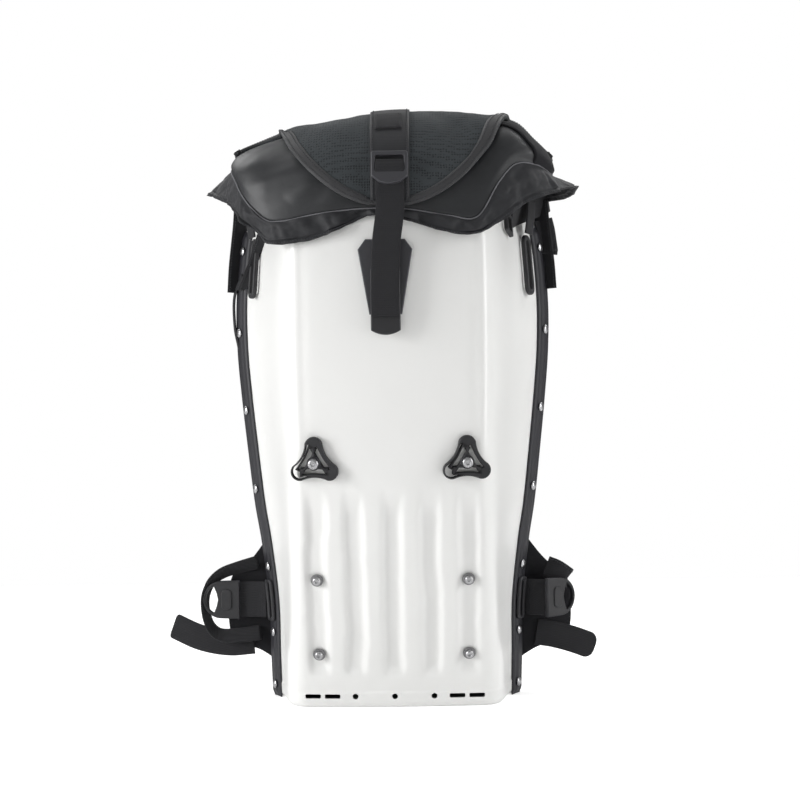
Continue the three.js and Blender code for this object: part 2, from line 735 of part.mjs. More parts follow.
function flapEdge(x) {
  const height = SHELL_HEIGHT - FLAP_TIP + FLAP_CLIMB * (Math.abs(x) / FLAP_SIDE) ** 2.2;
  const share = Math.abs(x) / (LID_WIDTH / 2);
  const widest = (1 - share ** LID_PLAN_POWER) ** (1 / LID_PLAN_POWER);
  const heightAt = (angle) =>
    domeHeight(flapCentre + x, lidMiddle - (LID_DEPTH / 2) * widest * Math.sin(angle) ** (2 / LID_DOME_POWER));
  if (heightAt(0) <= height) return null;
  let low = 0;
  let high = Math.PI / 2;
  for (let i = 0; i < 24; i += 1) {
    const middle = (low + high) / 2;
    if (heightAt(middle) > height) low = middle;
    else high = middle;
  }
  return Math.min(low, degToRad(87));
}

function flapAngle(x) {
  const beyond = smoothstep(Math.abs(x), FLAP_SIDE * 0.72, FLAP_SIDE * 1.28);
  const edge = flapEdge(x) ?? 0;
  return lerp(edge, FLAP_CORNER, beyond);
}

function onDome(x, angle) {
  const share = clamp(Math.abs(x) / (LID_WIDTH / 2), 0, 0.999);
  const widest = (1 - share ** LID_PLAN_POWER) ** (1 / LID_PLAN_POWER);
  const swing = Math.sign(angle) * Math.abs(Math.sin(angle)) ** (2 / LID_DOME_POWER);
  const y = lidMiddle - (LID_DEPTH / 2) * widest * swing;
  return point(flapCentre + x, y, domeHeight(flapCentre + x, y));
}

// A point of the flap, lifted off the dome along its normal.
function overDome(x, angle, lift) {
  const step = 0.02;
  const reach = SEAT;
  const across = onDome(x + reach, angle).sub(onDome(x - reach, angle));
  const along = onDome(x, angle + step).sub(onDome(x, angle - step));
  const normal = along.cross(across).normalize();
  if (normal.z < -0.2) normal.negate();
  return onDome(x, angle).addScaledVector(normal, lift);
}

function flapPoint(u, v, lift) {
  const x = (u * FLAP_WIDTH) / 2;
  return overDome(x, lerp(FLAP_BACK, flapAngle(x), v), lift);
}

// Columns close up where the front edge turns back over the dome.
const flapHalf = [0.12, 0.24, 0.35, 0.44, 0.52, 0.59, 0.66, 0.73, 0.8, 0.87, 0.93, 0.97, 1];
const flapColumns = [...flapHalf.map((u) => -u).reverse(), 0, ...flapHalf];

function lidFlap() {
  const geometry = thickSheet(
    flapColumns,
    [0, 0.14, 0.28, 0.4, 0.52, 0.64, 0.75, 0.85, 0.93, 1],
    (u, v) => flapPoint(u, v, FLAP_LIFT + FLAP_THICK),
    (u, v) => flapPoint(u, v, FLAP_LIFT),
  );
  add("lid_flap", geometry, "flap_mesh");
}

// The strip sewn down the middle of the flap, from the top of the dome to its tip.
const overFlap = FLAP_LIFT + FLAP_THICK + LOOSE_SEAT;

function flapStrip() {
  const end = flapAngle(0) - 0.02;
  const geometry = thickSheet(
    [-1, -0.34, 0.34, 1],
    steps(8, -0.35, end),
    (u, angle) => overDome((u * STRIP_WIDTH) / 2, angle, overFlap + STRIP_THICK),
    (u, angle) => overDome((u * STRIP_WIDTH) / 2, angle, overFlap),
  );
  add("flap_strip", geometry, "skirt_cloth");
}

// Closure down the front

// The angle on the dome where its centre line has a given height.
function angleAtHeight(z) {
  let low = 0;
  let high = Math.PI / 2;
  for (let i = 0; i < 24; i += 1) {
    const middle = (low + high) / 2;
    if (onDome(0, middle).z > z) low = middle;
    else high = middle;
  }
  return low;
}

const overStrip = overFlap + STRIP_THICK + SEAT;

function ladderLock() {
  const angle = angleAtHeight(SHELL_HEIGHT - LOCK_DROP);
  const inner = overDome(0, angle, overStrip);
  const outer = overDome(0, angle, overStrip + 1);
  const normal = outer.sub(inner).normalize();
  const shape = roundedRectangle(LOCK_WIDTH, LOCK_TALL, 2.5, {
    width: LOCK_WIDTH - 2 * LOCK_BAR,
    tall: LOCK_TALL - 3 * LOCK_BAR,
    radius: 1,
  });
  const lift = 0.3;
  add(
    "ladder_lock",
    plate(shape, LOCK_THICK, 2),
    "black_plastic",
    inner.addScaledVector(normal, lift),
    facing(normal),
  );
}

// How far forward the pieces under the closure stand.
const latchFace = -(SHELL_DEPTH + SEAT + LATCH_THICK);
const hookFace = latchFace - SEAT - HOOK_THICK;

function latchPlate() {
  const half = LATCH_WIDTH / 2;
  const shape = new THREE.Shape();
  shape.moveTo(-half * 0.6, -LATCH_TALL / 2);
  shape.lineTo(half * 0.6, -LATCH_TALL / 2);
  shape.lineTo(half, LATCH_TALL / 2 - LATCH_SHOULDER);
  shape.lineTo(half * 0.72, LATCH_TALL / 2);
  shape.lineTo(-half * 0.72, LATCH_TALL / 2);
  shape.lineTo(-half, LATCH_TALL / 2 - LATCH_SHOULDER);
  const z = SHELL_HEIGHT - LATCH_DROP - LATCH_TALL / 2;
  add(
    "latch_plate",
    plate(shape, LATCH_THICK),
    "black_plastic",
    point(CLOSURE_X, -(SHELL_DEPTH + SEAT), z),
    facing(point(0, -1, 0)),
  );
}

function latchHook() {
  const shape = new THREE.Shape();
  const half = HOOK_WIDTH / 2;
  shape.moveTo(-half, HOOK_TALL);
  shape.lineTo(-half, 4);
  shape.quadraticCurveTo(0, -4, half, 4);
  shape.lineTo(half, HOOK_TALL);
  add(
    "latch_hook",
    plate(shape, HOOK_THICK, 6),
    "black_plastic",
    point(CLOSURE_X, latchFace - SEAT, SHELL_HEIGHT - HOOK_END),
    facing(point(0, -1, 0)),
  );
}

function closureWebbing() {
  const lock = angleAtHeight(SHELL_HEIGHT - LOCK_DROP - LOCK_TALL / 2 - 2);
  const start = overDome(0, lock, overStrip + WEBBING_THICK * 0.4);
  const hem = -(depthAt(SHELL_HEIGHT * 0.93) + LID_OVERHANG + EAR_REACH * 0.1 + FLAP_THICK + 5);
  const route = [
    start,
    point(start.x, Math.min(start.y - 3, hem), SHELL_HEIGHT - FLAP_TIP - 4),
    point(lerp(start.x, CLOSURE_X, 0.7), Math.min(hem, hookFace - 3), SHELL_HEIGHT - LID_DROP),
    point(CLOSURE_X, hookFace - WEBBING_THICK * 1.5, SHELL_HEIGHT - LATCH_DROP - LATCH_TALL * 0.6),
    point(CLOSURE_X, hookFace - WEBBING_THICK, SHELL_HEIGHT - CLOSURE_END),
  ];
  add("closure_webbing", ribbon(route, CLOSURE_WIDTH, WEBBING_THICK, () => point(1, 0, 0), 14), "webbing");
}

// Knobs

function knobShape() {
  const shape = new THREE.Shape();
  const sweep = degToRad(72);
  const arms = [0, 1, 2].map((k) => Math.PI / 2 + (k * 2 * Math.PI) / 3);
  arms.forEach((angle, k) => {
    const x = Math.cos(angle) * KNOB_ARM;
    const y = Math.sin(angle) * KNOB_ARM;
    shape.absarc(x, y, KNOB_CORNER, angle - sweep, angle + sweep);
    const next = arms[(k + 1) % 3];
    const middle = angle + Math.PI / 3;
    const waist = KNOB_ARM / 2 + KNOB_CORNER - KNOB_WAIST;
    shape.quadraticCurveTo(
      Math.cos(middle) * waist,
      Math.sin(middle) * waist,
      Math.cos(next) * KNOB_ARM + Math.cos(next - sweep) * KNOB_CORNER,
      Math.sin(next) * KNOB_ARM + Math.sin(next - sweep) * KNOB_CORNER,
    );
  });
  for (const angle of arms) {
    const middle = angle + Math.PI / 3;
    const out = KNOB_ARM / 2 + KNOB_CORNER - KNOB_WAIST - 2.6;
    const along = KNOB_ARM * 0.78;
    const spot = (reach, slide) => [
      Math.cos(middle) * reach - Math.sin(middle) * slide,
      Math.sin(middle) * reach + Math.cos(middle) * slide,
    ];
    const hole = new THREE.Path();
    hole.moveTo(...spot(out + 1.6, -along));
    hole.quadraticCurveTo(...spot(out, 0), ...spot(out + 1.6, along));
    hole.lineTo(...spot(out + 1.6 - KNOB_SLOT * 0.6, along * 0.9));
    hole.quadraticCurveTo(...spot(out - KNOB_SLOT, 0), ...spot(out + 1.6 - KNOB_SLOT * 0.6, -along * 0.9));
    shape.holes.push(hole);
  }
  return shape;
}

// Where a fastening sits on the front at x and z, and which way it faces.
function frontSeat(x, z, lift, reach = 0) {
  const face = (u, v) => point(u, frontY(u, v) - grooveAt(u, v), v);
  const normal = normalAt(face, x, z, 1);
  if (normal.y > 0) normal.negate();
  const deep = point(x, Math.min(frontY(x - reach, z), frontY(x + reach, z)), z);
  return { at: deep.addScaledVector(normal, lift), normal };
}

function knob(side, hand) {
  const seat = frontSeat((hand * KNOB_APART) / 2, KNOB_UP * SHELL_HEIGHT, SEAT * 1.5);
  const turn = facing(seat.normal);
  add(`knob_${side}`, plate(knobShape(), KNOB_THICK, 3), "black_plastic", seat.at, turn);
  const head = seat.at.clone().addScaledVector(seat.normal, KNOB_THICK + SEAT);
  add(`knob_screw_${side}`, screwHead(KNOB_SCREW, SCREW_TALL), "steel", head, turn);
}

// A button head with a hexagonal socket.
function screwHead(diameter, tall) {
  const radius = diameter / 2;
  const profile = [
    [0, 0],
    [radius, 0],
    [radius, tall * 0.5],
    [radius * 0.7, tall],
    [radius * 0.42, tall],
    [radius * 0.42, tall * 0.5],
    [0, tall * 0.5],
  ].map(([r, h]) => new THREE.Vector2(r, h));
  return new THREE.LatheGeometry(profile, 6).rotateX(Math.PI / 2);
}

function baseScrews() {
  const rows = ["lower", "upper"];
  rows.forEach((row, i) => {
    for (const [side, hand] of [["left", -1], ["right", 1]]) {
      const x = (hand * (GROOVE_COUNT - 1) * GROOVE_PITCH) / 2;
      const seat = frontSeat(x, BASE_SCREWS_UP[i] * SHELL_HEIGHT, SEAT, WASHER_DIAMETER / 2);
      const turn = facing(seat.normal);
      const ring = new THREE.CylinderGeometry(WASHER_DIAMETER / 2, WASHER_DIAMETER / 2, WASHER_THICK, 10);
      ring.rotateX(Math.PI / 2).translate(0, 0, WASHER_THICK / 2);
      add(`washer_${row}_${side}`, ring, "steel", seat.at, turn);
      const head = seat.at.clone().addScaledVector(seat.normal, WASHER_THICK + SEAT);
      add(`base_screw_${row}_${side}`, screwHead(SCREW_HEAD, SCREW_TALL), "steel", head, turn);
    }
  });
}

// Hip belt: padded wing, slotted frame on the trim, webbing, buckle and loose tail

const wingRoot = (z) => halfWidthAt(z) - TRIM_LIP - WING_TUCK;
const beltHeight = BELT_UP * SHELL_HEIGHT;
const wingY = panelBack + SEAT;

const wingTip = halfWidthAt(beltHeight) + WING_REACH;

// How far back the wing's front face lies at a distance from the middle.
function wingFront(x) {
  const root = halfWidthAt(beltHeight);
  return wingY + TRIM_THICK + SEAT + WING_SWEEP * Math.max(0, (x - root) / WING_REACH) ** 2;
}

function hipWing(side, hand) {
  const place = (u, v, face) => {
    const upper = lerp(WING_TOP, BELT_UP + 0.042, smoothstep(u, 0.05, 0.85)) * SHELL_HEIGHT;
    const lower = lerp(WING_FOOT, BELT_UP - 0.08, smoothstep(u, 0.15, 0.8)) * SHELL_HEIGHT;
    const z = lerp(lower, upper, v);
    const x = lerp(wingRoot(z), wingTip - WING_ROUND * Math.abs(2 * v - 1) ** 3, u);
    const edge = 1 - 0.6 * (2 * v - 1) ** 4;
    const back = u < 0.12 ? 1 : edge;
    return point(hand * x, wingFront(x) + (face ? WING_THICK * back : 0), z);
  };
  add(
    `hip_wing_${side}`,
    thickSheet(
      steps(9),
      [0, 0.15, 0.5, 0.85, 1],
      (u, v) => place(u, v, 1),
      (u, v) => place(u, v, 0),
    ),
    "padding",
  );
}

// The slotted frame, bent to the trim that carries it.
function beltFrame(side, hand) {
  const corner = 6;
  const place = (turn, share, cover) => {
    const round = 1 / (Math.abs(Math.cos(turn)) ** corner + Math.abs(Math.sin(turn)) ** corner) ** (1 / corner);
    const half = FRAME_LENGTH / 2 - FRAME_BAR * (1 - share);
    const tall = BELT_WIDTH / 2 + FRAME_BAR * share;
    const u = 0.5 + (round * Math.cos(turn) * half) / TRIM_WIDTH;
    const z = beltHeight + round * Math.sin(turn) * tall;
    return trimPoint(hand, u, z, TRIM_THICK + LOOSE_SEAT + cover);
  };
  const turns = steps(16, 0, 2 * Math.PI).slice(0, -1);
  const geometry = thickSheet(
    turns,
    [0, 1],
    (turn, share) => place(turn, share, FRAME_BAR),
    (turn, share) => place(turn, share, 0),
    true,
  );
  add(`belt_frame_${side}`, geometry, "black_plastic");
}

function belt(side, hand) {
  const edge = halfWidthAt(beltHeight) + TRIM_THICK + BELT_LAP;
  const webFace = wingY - BELT_SLACK;
  const webbing = [
    point(hand * (edge - BELT_LAP * 0.4), webFace - WEBBING_THICK * 2.75, beltHeight),
    point(hand * (edge + BELT_RUN[side] / 3), webFace - SEAT * 2.5, beltHeight),
    point(hand * (edge + BELT_RUN[side]), webFace + SEAT * 2.5, beltHeight),
  ];
  add(
    `belt_webbing_${side}`,
    ribbon(webbing, BELT_WIDTH, WEBBING_THICK, () => point(0, 0, 1), 4),
    "webbing",
  );
  const hole = { width: BUCKLE_HOLE_WIDTH, tall: BUCKLE_HOLE_TALL, radius: BUCKLE_HOLE_CORNER };
  const ring = roundedRectangle(BUCKLE_LENGTH, BELT_WIDTH + SEAT * 10, BUCKLE_CORNER, hole);
  for (const path of ring.holes) path.curves.forEach(shiftCurve(BUCKLE_LENGTH * 0.2));
  const buckleX = edge + BELT_RUN[side] + BUCKLE_LENGTH / 2 + SEAT * 2.5;
  const buckleAt = point(hand * buckleX, webFace - BUCKLE_THICK + SEAT * 2.5, beltHeight);
  const buckle = plate(ring, BUCKLE_THICK, 3).rotateX(Math.PI / 2);
  if (hand < 0) buckle.rotateZ(Math.PI);
  add(`belt_buckle_${side}`, buckle.translate(0, hand < 0 ? 0 : BUCKLE_THICK, 0), "black_plastic", buckleAt);
  const tail = BELT_TAIL.map(({ out, [side]: up }) => {
    const x = edge + out * TAIL_REACH[side];
    return point(hand * x, wingFront(x) - SEAT - WEBBING_THICK * 0.65, beltHeight + up * TAIL_REACH[side]);
  });
  add(`belt_tail_${side}`, ribbon(tail, TAIL_WIDTH, WEBBING_THICK, () => point(0, 0, 1), 6), "webbing");
}

// Slides one curve of a path along x.
function shiftCurve(distance) {
  return (curve) => {
    if (curve.v1) curve.v1.x += distance;
    if (curve.v2) curve.v2.x += distance;
    if (curve.aX !== undefined) curve.aX += distance;
  };
}

// Upper side hooks, hanging from short webbings under the skirt

function sideHook(side, hand) {
  const z = SIDE_HOOK_UP * SHELL_HEIGHT;
  const wall = (u, height) => {
    const at = sideAt(u, height, -SEAT);
    return point(hand * at.x, at.y, height);
  };
  const normal = normalAt(wall, SIDE_HOOK_SHARE, z, 0.01);
  if (normal.y > 0) normal.negate();
  const seat = { at: wall(SIDE_HOOK_SHARE, z).addScaledVector(normal, SIDE_HOOK_LIFT), normal };
  const hook = roundedRectangle(SIDE_HOOK_WIDTH, SIDE_HOOK_LENGTH, SIDE_HOOK_WIDTH / 2 - 0.1, {
    width: SIDE_HOOK_WIDTH - 2 * SIDE_HOOK_BAR,
    tall: SIDE_HOOK_LENGTH - 2.4 * SIDE_HOOK_BAR,
    radius: SIDE_HOOK_WIDTH / 2 - SIDE_HOOK_BAR - 0.1,
  });
  add(`side_hook_${side}`, plate(hook, SIDE_HOOK_THICK, 3), "black_plastic", seat.at, facing(seat.normal));
  const lean = hand * SIDE_WEBBING_RUN * 0.1;
  const top = seat.at.clone().add(point(lean, -SIDE_WEBBING_RUN / 15, SIDE_HOOK_LENGTH / 2 + SEAT * 2.5));
  const webbing = [0, 0.47, 1].map((share) =>
    top.clone().add(point(lean * share ** 0.5, 0, SIDE_WEBBING_RUN * share)),
  );
  add(
    `side_webbing_${side}`,
    ribbon(webbing, SIDE_WEBBING_WIDTH, WEBBING_THICK, () => seat.normal.clone().cross(point(0, 0, 1)), 3),
    "webbing",
  );
}

shell();
for (const [side, hand] of [["left", -1], ["right", 1]]) {
  edgeTrim(side, hand);
  rivets(side, hand);
  backPad(
    `back_pad_${side}`,
    (hand * (BACK_PAD_WIDTH + BACK_PAD_GAP)) / 2,
    BACK_PAD_UP,
    BACK_PAD_WIDTH,
    BACK_PAD_HEIGHT,
    BACK_PAD_THICK,
  );
  shoulderStrap(side, hand);
  knob(side, hand);
  hipWing(side, hand);
  beltFrame(side, hand);
  belt(side, hand);
  sideHook(side, hand);
}
backPanel();
backPad("lumbar_pad", 0, LUMBAR_UP, LUMBAR_WIDTH, LUMBAR_HEIGHT, LUMBAR_THICK);
baseScrews();
lidHood();
lidSkirt();
lidFlap();
flapStrip();
ladderLock();
latchPlate();
latchHook();
closureWebbing();

// The origin is the middle of the box's bottom face.
group.updateMatrixWorld(true);
const box = new THREE.Box3().setFromObject(group, true);
const middle = box.getCenter(point(0, 0, 0));
group.position.set(-middle.x, -middle.y, -box.min.z);
group.updateMatrixWorld(true);

export default group;
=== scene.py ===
import math

import bmesh
import bpy
import numpy as np
from bpy.props import FloatProperty, FloatVectorProperty, PointerProperty
from mathutils import Matrix, Vector, noise
from mathutils.geometry import tessellate_polygon


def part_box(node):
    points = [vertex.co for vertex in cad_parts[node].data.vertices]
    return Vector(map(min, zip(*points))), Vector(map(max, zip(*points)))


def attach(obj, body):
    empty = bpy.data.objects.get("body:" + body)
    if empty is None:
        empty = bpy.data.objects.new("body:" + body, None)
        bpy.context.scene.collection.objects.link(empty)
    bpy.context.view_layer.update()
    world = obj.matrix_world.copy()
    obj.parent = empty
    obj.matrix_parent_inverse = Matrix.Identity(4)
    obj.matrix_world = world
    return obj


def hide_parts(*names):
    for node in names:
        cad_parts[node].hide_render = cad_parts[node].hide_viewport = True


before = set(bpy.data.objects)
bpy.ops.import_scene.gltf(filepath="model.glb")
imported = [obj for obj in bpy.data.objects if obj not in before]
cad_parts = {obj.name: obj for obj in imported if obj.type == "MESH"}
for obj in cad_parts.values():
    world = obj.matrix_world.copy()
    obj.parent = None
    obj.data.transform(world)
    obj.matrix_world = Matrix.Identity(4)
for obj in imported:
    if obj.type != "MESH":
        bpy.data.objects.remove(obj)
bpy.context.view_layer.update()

bl_info = {
    "name": "Hard Shell Backpack",
    "version": (1, 0, 0),
    "blender": (4, 5, 0),
    "location": "3D View > Sidebar > Backpack",
    "description": "Builds the looks of a hard shell backpack around its solid model",
    "category": "Add Mesh",
}

SIDES = (("left", -1), ("right", 1))

# up is a share of the shell's height, wide of half its width, deep of its depth. full says how far
# the front runs on beyond its crease before it turns, a share of the run from crease to rim
SHELL_PROFILE = [
    dict(up=0, wide=0.793, deep=0.53, full=0.85),
    dict(up=0.09, wide=0.803, deep=0.63, full=0.8),
    dict(up=0.19, wide=0.81, deep=0.725, full=0.68),
    dict(up=0.31, wide=0.855, deep=0.82, full=0.52),
    dict(up=0.39, wide=0.897, deep=0.872, full=0.44),
    dict(up=0.5, wide=0.938, deep=0.93, full=0.4),
    dict(up=0.6, wide=0.972, deep=0.968, full=0.4),
    dict(up=0.7, wide=0.998, deep=0.99, full=0.4),
    dict(up=0.8, wide=1, deep=1, full=0.4),
    dict(up=0.915, wide=0.966, deep=0.985, full=0.4),
    dict(up=1, wide=0.903, deep=0.95, full=0.4),
]

# turn is in degrees from the right side, by way of the back. pipe and hem are shares of the lid's
# drop, measured from the shell's top, and flare is a share of the ears' reach
LID_EDGE = [
    dict(turn=0, pipe=0.28, hem=0.06, flare=1),
    dict(turn=14, pipe=0.34, hem=-0.02, flare=0.9),
    dict(turn=40, pipe=0.42, hem=-0.08, flare=0.72),
    dict(turn=90, pipe=0.32, hem=-0.2, flare=0.25),
    dict(turn=140, pipe=0.42, hem=-0.08, flare=0.72),
    dict(turn=166, pipe=0.5, hem=0.02, flare=0.9),
    dict(turn=180, pipe=0.46, hem=0.04, flare=1),
    dict(turn=196, pipe=0.38, hem=-0.12, flare=0.5),
    dict(turn=207, pipe=0.2, hem=-0.26, flare=0.3),
    dict(turn=214, pipe=-0.06, hem=-0.42, flare=0.2),
    dict(turn=222, pipe=-0.36, hem=-0.7, flare=0.15),
    dict(turn=230, pipe=-0.58, hem=-0.96, flare=0.12),
    dict(turn=248, pipe=-0.46, hem=-0.86, flare=0.1),
    dict(turn=262, pipe=-0.4, hem=-0.56, flare=0.08),
    dict(turn=276, pipe=-0.42, hem=-0.6, flare=0.08),
    dict(turn=290, pipe=-0.54, hem=-0.85, flare=0.1),
    dict(turn=299, pipe=-0.55, hem=-0.84, flare=0.1),
    dict(turn=306, pipe=0.02, hem=-0.64, flare=0.11),
    dict(turn=312, pipe=0.33, hem=-0.42, flare=0.14),
    dict(turn=321, pipe=0.36, hem=-0.2, flare=0.3),
    dict(turn=338, pipe=0.25, hem=-0.06, flare=0.6),
]

# How high the dome stands across the lid, as a share of its rise
LID_CROWN = [
    dict(across=-1, rise=0.56),
    dict(across=-0.65, rise=0.62),
    dict(across=-0.35, rise=0.67),
    dict(across=0, rise=0.725),
    dict(across=0.36, rise=0.725),
    dict(across=0.6, rise=0.71),
    dict(across=0.77, rise=0.78),
    dict(across=0.86, rise=0.68),
    dict(across=1, rise=0.52),
]

# Shoulder strap: across is a share of the shell's half width, out of the strap's reach
STRAP_ROUTE = [
    dict(across=0.3, up=0.955, out=0),
    dict(across=0.31, up=0.95, out=0.42),
    dict(across=0.35, up=0.88, out=0.82),
    dict(across=0.43, up=0.72, out=1),
    dict(across=0.53, up=0.56, out=0.93),
    dict(across=0.62, up=0.42, out=0.66),
]

# Loose tails of the belt, as shares of the tail's reach, heights measured from the belt
BELT_TAIL = [
    dict(out=0.12, left=-0.45, right=-0.54),
    dict(out=0.4, left=-0.47, right=-0.59),
    dict(out=0.7, left=-0.42, right=-0.68),
    dict(out=1, left=-0.3, right=-0.8),
]

# Folds of the cloth as seen from the front: from and to are places across, shares of half the
# lid's width, and up, shares of its rise above the shell's top. high is in millimetres
HOOD_FOLDS = [
    dict(x0=-0.42, up0=0.1, x1=-0.62, up1=-0.16, wide=9, high=2.6),
    dict(x0=-0.5, up0=0.2, x1=-0.86, up1=0.02, wide=7, high=1.6),
    dict(x0=-0.74, up0=0.34, x1=-0.98, up1=0.12, wide=8, high=1.8),
    dict(x0=-0.3, up0=-0.02, x1=-0.44, up1=-0.24, wide=6, high=1.4),
    dict(x0=0.66, up0=0.1, x1=0.72, up1=-0.2, wide=7, high=1.8),
    dict(x0=0.8, up0=0.4, x1=0.94, up1=0.1, wide=8, high=2),
    dict(x0=0.7, up0=0.3, x1=0.95, up1=0.32, wide=7, high=1.4),
]


SKIRT_FOLDS = [
    dict(x0=-0.92, up0=0.09, x1=-0.67, up1=-0.41, wide=7, high=3),
    dict(x0=-0.83, up0=-0.13, x1=-0.79, up1=-0.37, wide=5, high=2),
    dict(x0=-0.64, up0=-0.2, x1=-0.5, up1=-0.39, wide=6, high=2.4),
    dict(x0=-0.43, up0=-0.25, x1=-0.26, up1=-0.33, wide=6, high=2),
    dict(x0=0.25, up0=-0.26, x1=0.4, up1=-0.41, wide=6, high=2.4),
    dict(x0=0.49, up0=-0.16, x1=0.58, up1=-0.33, wide=6, high=2),
    dict(x0=0.66, up0=0, x1=0.75, up1=-0.2, wide=6, high=2.4),
    dict(x0=0.79, up0=0.17, x1=0.9, up1=0, wide=7, high=2.6),
]

# The left belt webbing that loops round its buckle, seen from the front, measured from the middle
BELT_LOOP = [
    dict(x=-0.132, up=0.035, front=0.005, turn=0.9),
    dict(x=-0.15, up=0.0305, front=0.0045, turn=0.8),
    dict(x=-0.166, up=0.025, front=0.004, turn=0.7),
    dict(x=-0.178, up=0.0145, front=0.006, turn=0.45),
    dict(x=-0.1835, up=-0.002, front=0.008, turn=0.4),
    dict(x=-0.18, up=-0.0225, front=0.007, turn=0.45),
    dict(x=-0.1695, up=-0.0335, front=0.005, turn=0.75),
    dict(x=-0.15, up=-0.0345, front=0.0045, turn=0.9),
    dict(x=-0.13, up=-0.032, front=0.005, turn=0.95),
]

# The right belt webbing that is folded back on itself
BELT_FOLD = [
    dict(x=0.1435, up=0.028, front=0.004),
    dict(x=0.1525, up=0.0245, front=0.0015),
    dict(x=0.1605, up=0.019, front=0.002),
    dict(x=0.163, up=0.0165, front=0.0045),
    dict(x=0.1575, up=0.016, front=0.006),
]

# Each place of a route is a share across the side wall, a height and a lift off the wall
SIDE_STRAPS = [
    *(
        dict(
            name=f"lid_strap_{side}",
            hand=hand,
            width=0.017,
            wide=[hand * 0.9, -0.45, 0],
            route=[
                (0.99, 0.468, 0.009),
                (0.99, 0.45, 0.0062),
                (0.99, 0.43, 0.0046),
                (0.99, 0.408, 0.0044),
                (0.99, 0.384, 0.0042),
            ],
        )
        for side, hand in SIDES
    ),
    dict(
        name="lid_strap_loop_left",
        hand=-1,
        width=0.0055,
        wide=[0.4, -0.9, 0],
        route=[(0.93, 0.4, 0.0042), (1.05, 0.38, 0.003), (1.07, 0.352, 0.002), (0.98, 0.333, 0.003)],
    ),
    dict(
        name="brace_left",
        hand=-1,
        width=0.011,
        wide=[-0.85, 0.3, -0.5],
        route=[(0.6, 0.452, 0.0036), (0.72, 0.428, 0.0034), (0.84, 0.404, 0.0032), (0.93, 0.386, 0.0032)],
    ),
    dict(
        name="folded_strap_right",
        hand=1,
        width=0.025,
        wide=[0.3, 0, 1],
        route=[(1.12, 0.469, 0.012), (0.94, 0.462, 0.009), (0.76, 0.453, 0.0055), (0.6, 0.445, 0.0042)],
    ),
    dict(
        name="folded_strap_end_right",
        hand=1,
        width=0.019,
        wide=[0.75, 0.3, 0.55],
        route=[(1.04, 0.45, 0.006), (1.12, 0.438, 0.004), (1.06, 0.424, 0.005), (0.98, 0.417, 0.007)],
    ),
]

SLIDE_SHARE = 0.53
SLIDE_HEIGHT = 0.44
SLIDE_LEAN = math.radians(-20)

# Strip, lock, latch and hook of the closure. Drops and ends are measured down from the shell's top
STRIP_WIDTH = 0.034
STRIP_THICK = 0.0012
PATCH_HALF = 0.0115
PATCH_HEIGHTS = (0.058, 0.044)
LOCK_WIDTH = 0.032
LOCK_TALL = 0.028
LOCK_THICK = 0.005
LOCK_BAR = 0.0035
LOCK_RISE = 0.012
LATCH_DROP = 0.048
LATCH_TALL = 0.066
LATCH_WIDTH = 0.048
LATCH_THICK = 0.004
LATCH_SHOULDER = 0.009
HOOK_WIDTH = 0.026
HOOK_TALL = 0.058
HOOK_THICK = 0.004
HOOK_END = 0.132
HOOK_TIP = 0.004
CLOSURE_END = 0.116
CLOSURE_X = -0.002

# Lamps stand off the middle of the front's foot, sizes in metres and power in watts
LAMPS = [
    dict(name="key", place=(-1.6, -0.62, 0.6), size=(0.5, 1.0), power=23),
    dict(name="front", place=(-0.9, -2.3, 0.9), size=(1.2, 1.2), power=3.6),
    dict(name="rim", place=(1.3, -0.3, 0.6), size=(0.3, 1.2), power=9),
    dict(name="top", place=(-0.1, 0.2, 1.7), size=(1.2, 0.9), power=5),
    dict(name="sheen_left", place=(-0.9, 0.9, 1.4), size=(0.5, 0.5), power=5),
    dict(name="sheen_right", place=(0.9, 0.8, 1.4), size=(0.5, 0.5), power=7),
]
LAMP_AIM = (0, 0.05, 0.28)
FLOOR_CORNERS = [(-4, -6, 0), (4, -6, 0), (4, 1.1, 0), (-4, 1.1, 0)]
CAMERA_AIM = (0.0094, 0, 0.281)
CAMERA_AWAY = 1.7
CAMERA_AZIMUTH = math.radians(1.15)
CAMERA_ELEVATION = math.radians(0.4)
CAMERA_ROLL = math.radians(-0.75)
CAMERA_LENS = 87.3
CAMERA_SENSOR = 36

# The two sides of the belt lie differently in the photograph
BELT_RUN = dict(left=0.02, right=0.012)
BELT_NEAR = dict(left=0.001, right=0.013)
TAIL_REACH = dict(left=0.0905, right=0.064)
TAIL_CORNER = dict(left=0.003, right=0.0085)
WING_REACH = dict(left=0.044, right=0.05)
WING_HIGH = dict(left=0.062, right=0.055)
BUCKLE_LEAN = dict(left=6, right=40)
BUCKLE_BACK = dict(left=0, right=0.005)

# Heights as shares of the shell's, then the slots and holes along the foot
RIVET_HEIGHTS = [0.025, 0.13, 0.262, 0.42, 0.579, 0.735, 0.9]
SCREW_ROWS = (("lower", 0.108), ("upper", 0.255))
KNOB_HEIGHT = 0.482
BELT_HEIGHT = 0.194
HOOK_HEIGHT = 0.86
SLOT_PLACES = (-0.075, -0.057, 0.057, 0.075)
HOLE_PLACES = (-0.036, 0, 0.036)
HOLE_HEIGHT = 0.0105
HOLE_REACH = 0.01

# Turned shapes, as distances from the axis and heights
RIVET_HEAD = [
    (0, 0), (0.0041, 0), (0.0042, 0.0004), (0.0039, 0.0008), (0.0031, 0.0014), (0.0018, 0.0019), (0, 0.0021),
]
WASHER = [(0, 0), (0.00575, 0), (0.0058, 0.0004), (0.0055, 0.0015), (0.0052, 0.0016), (0, 0.0016)]
KNOB_HUB = [(0, 0.004), (0.0062, 0.004), (0.0062, 0.0062), (0.0056, 0.0069), (0, 0.007)]
THREAD = [(0, -1), (0.7, -0.7), (1, 0), (0.7, 0.7), (0, 1)]

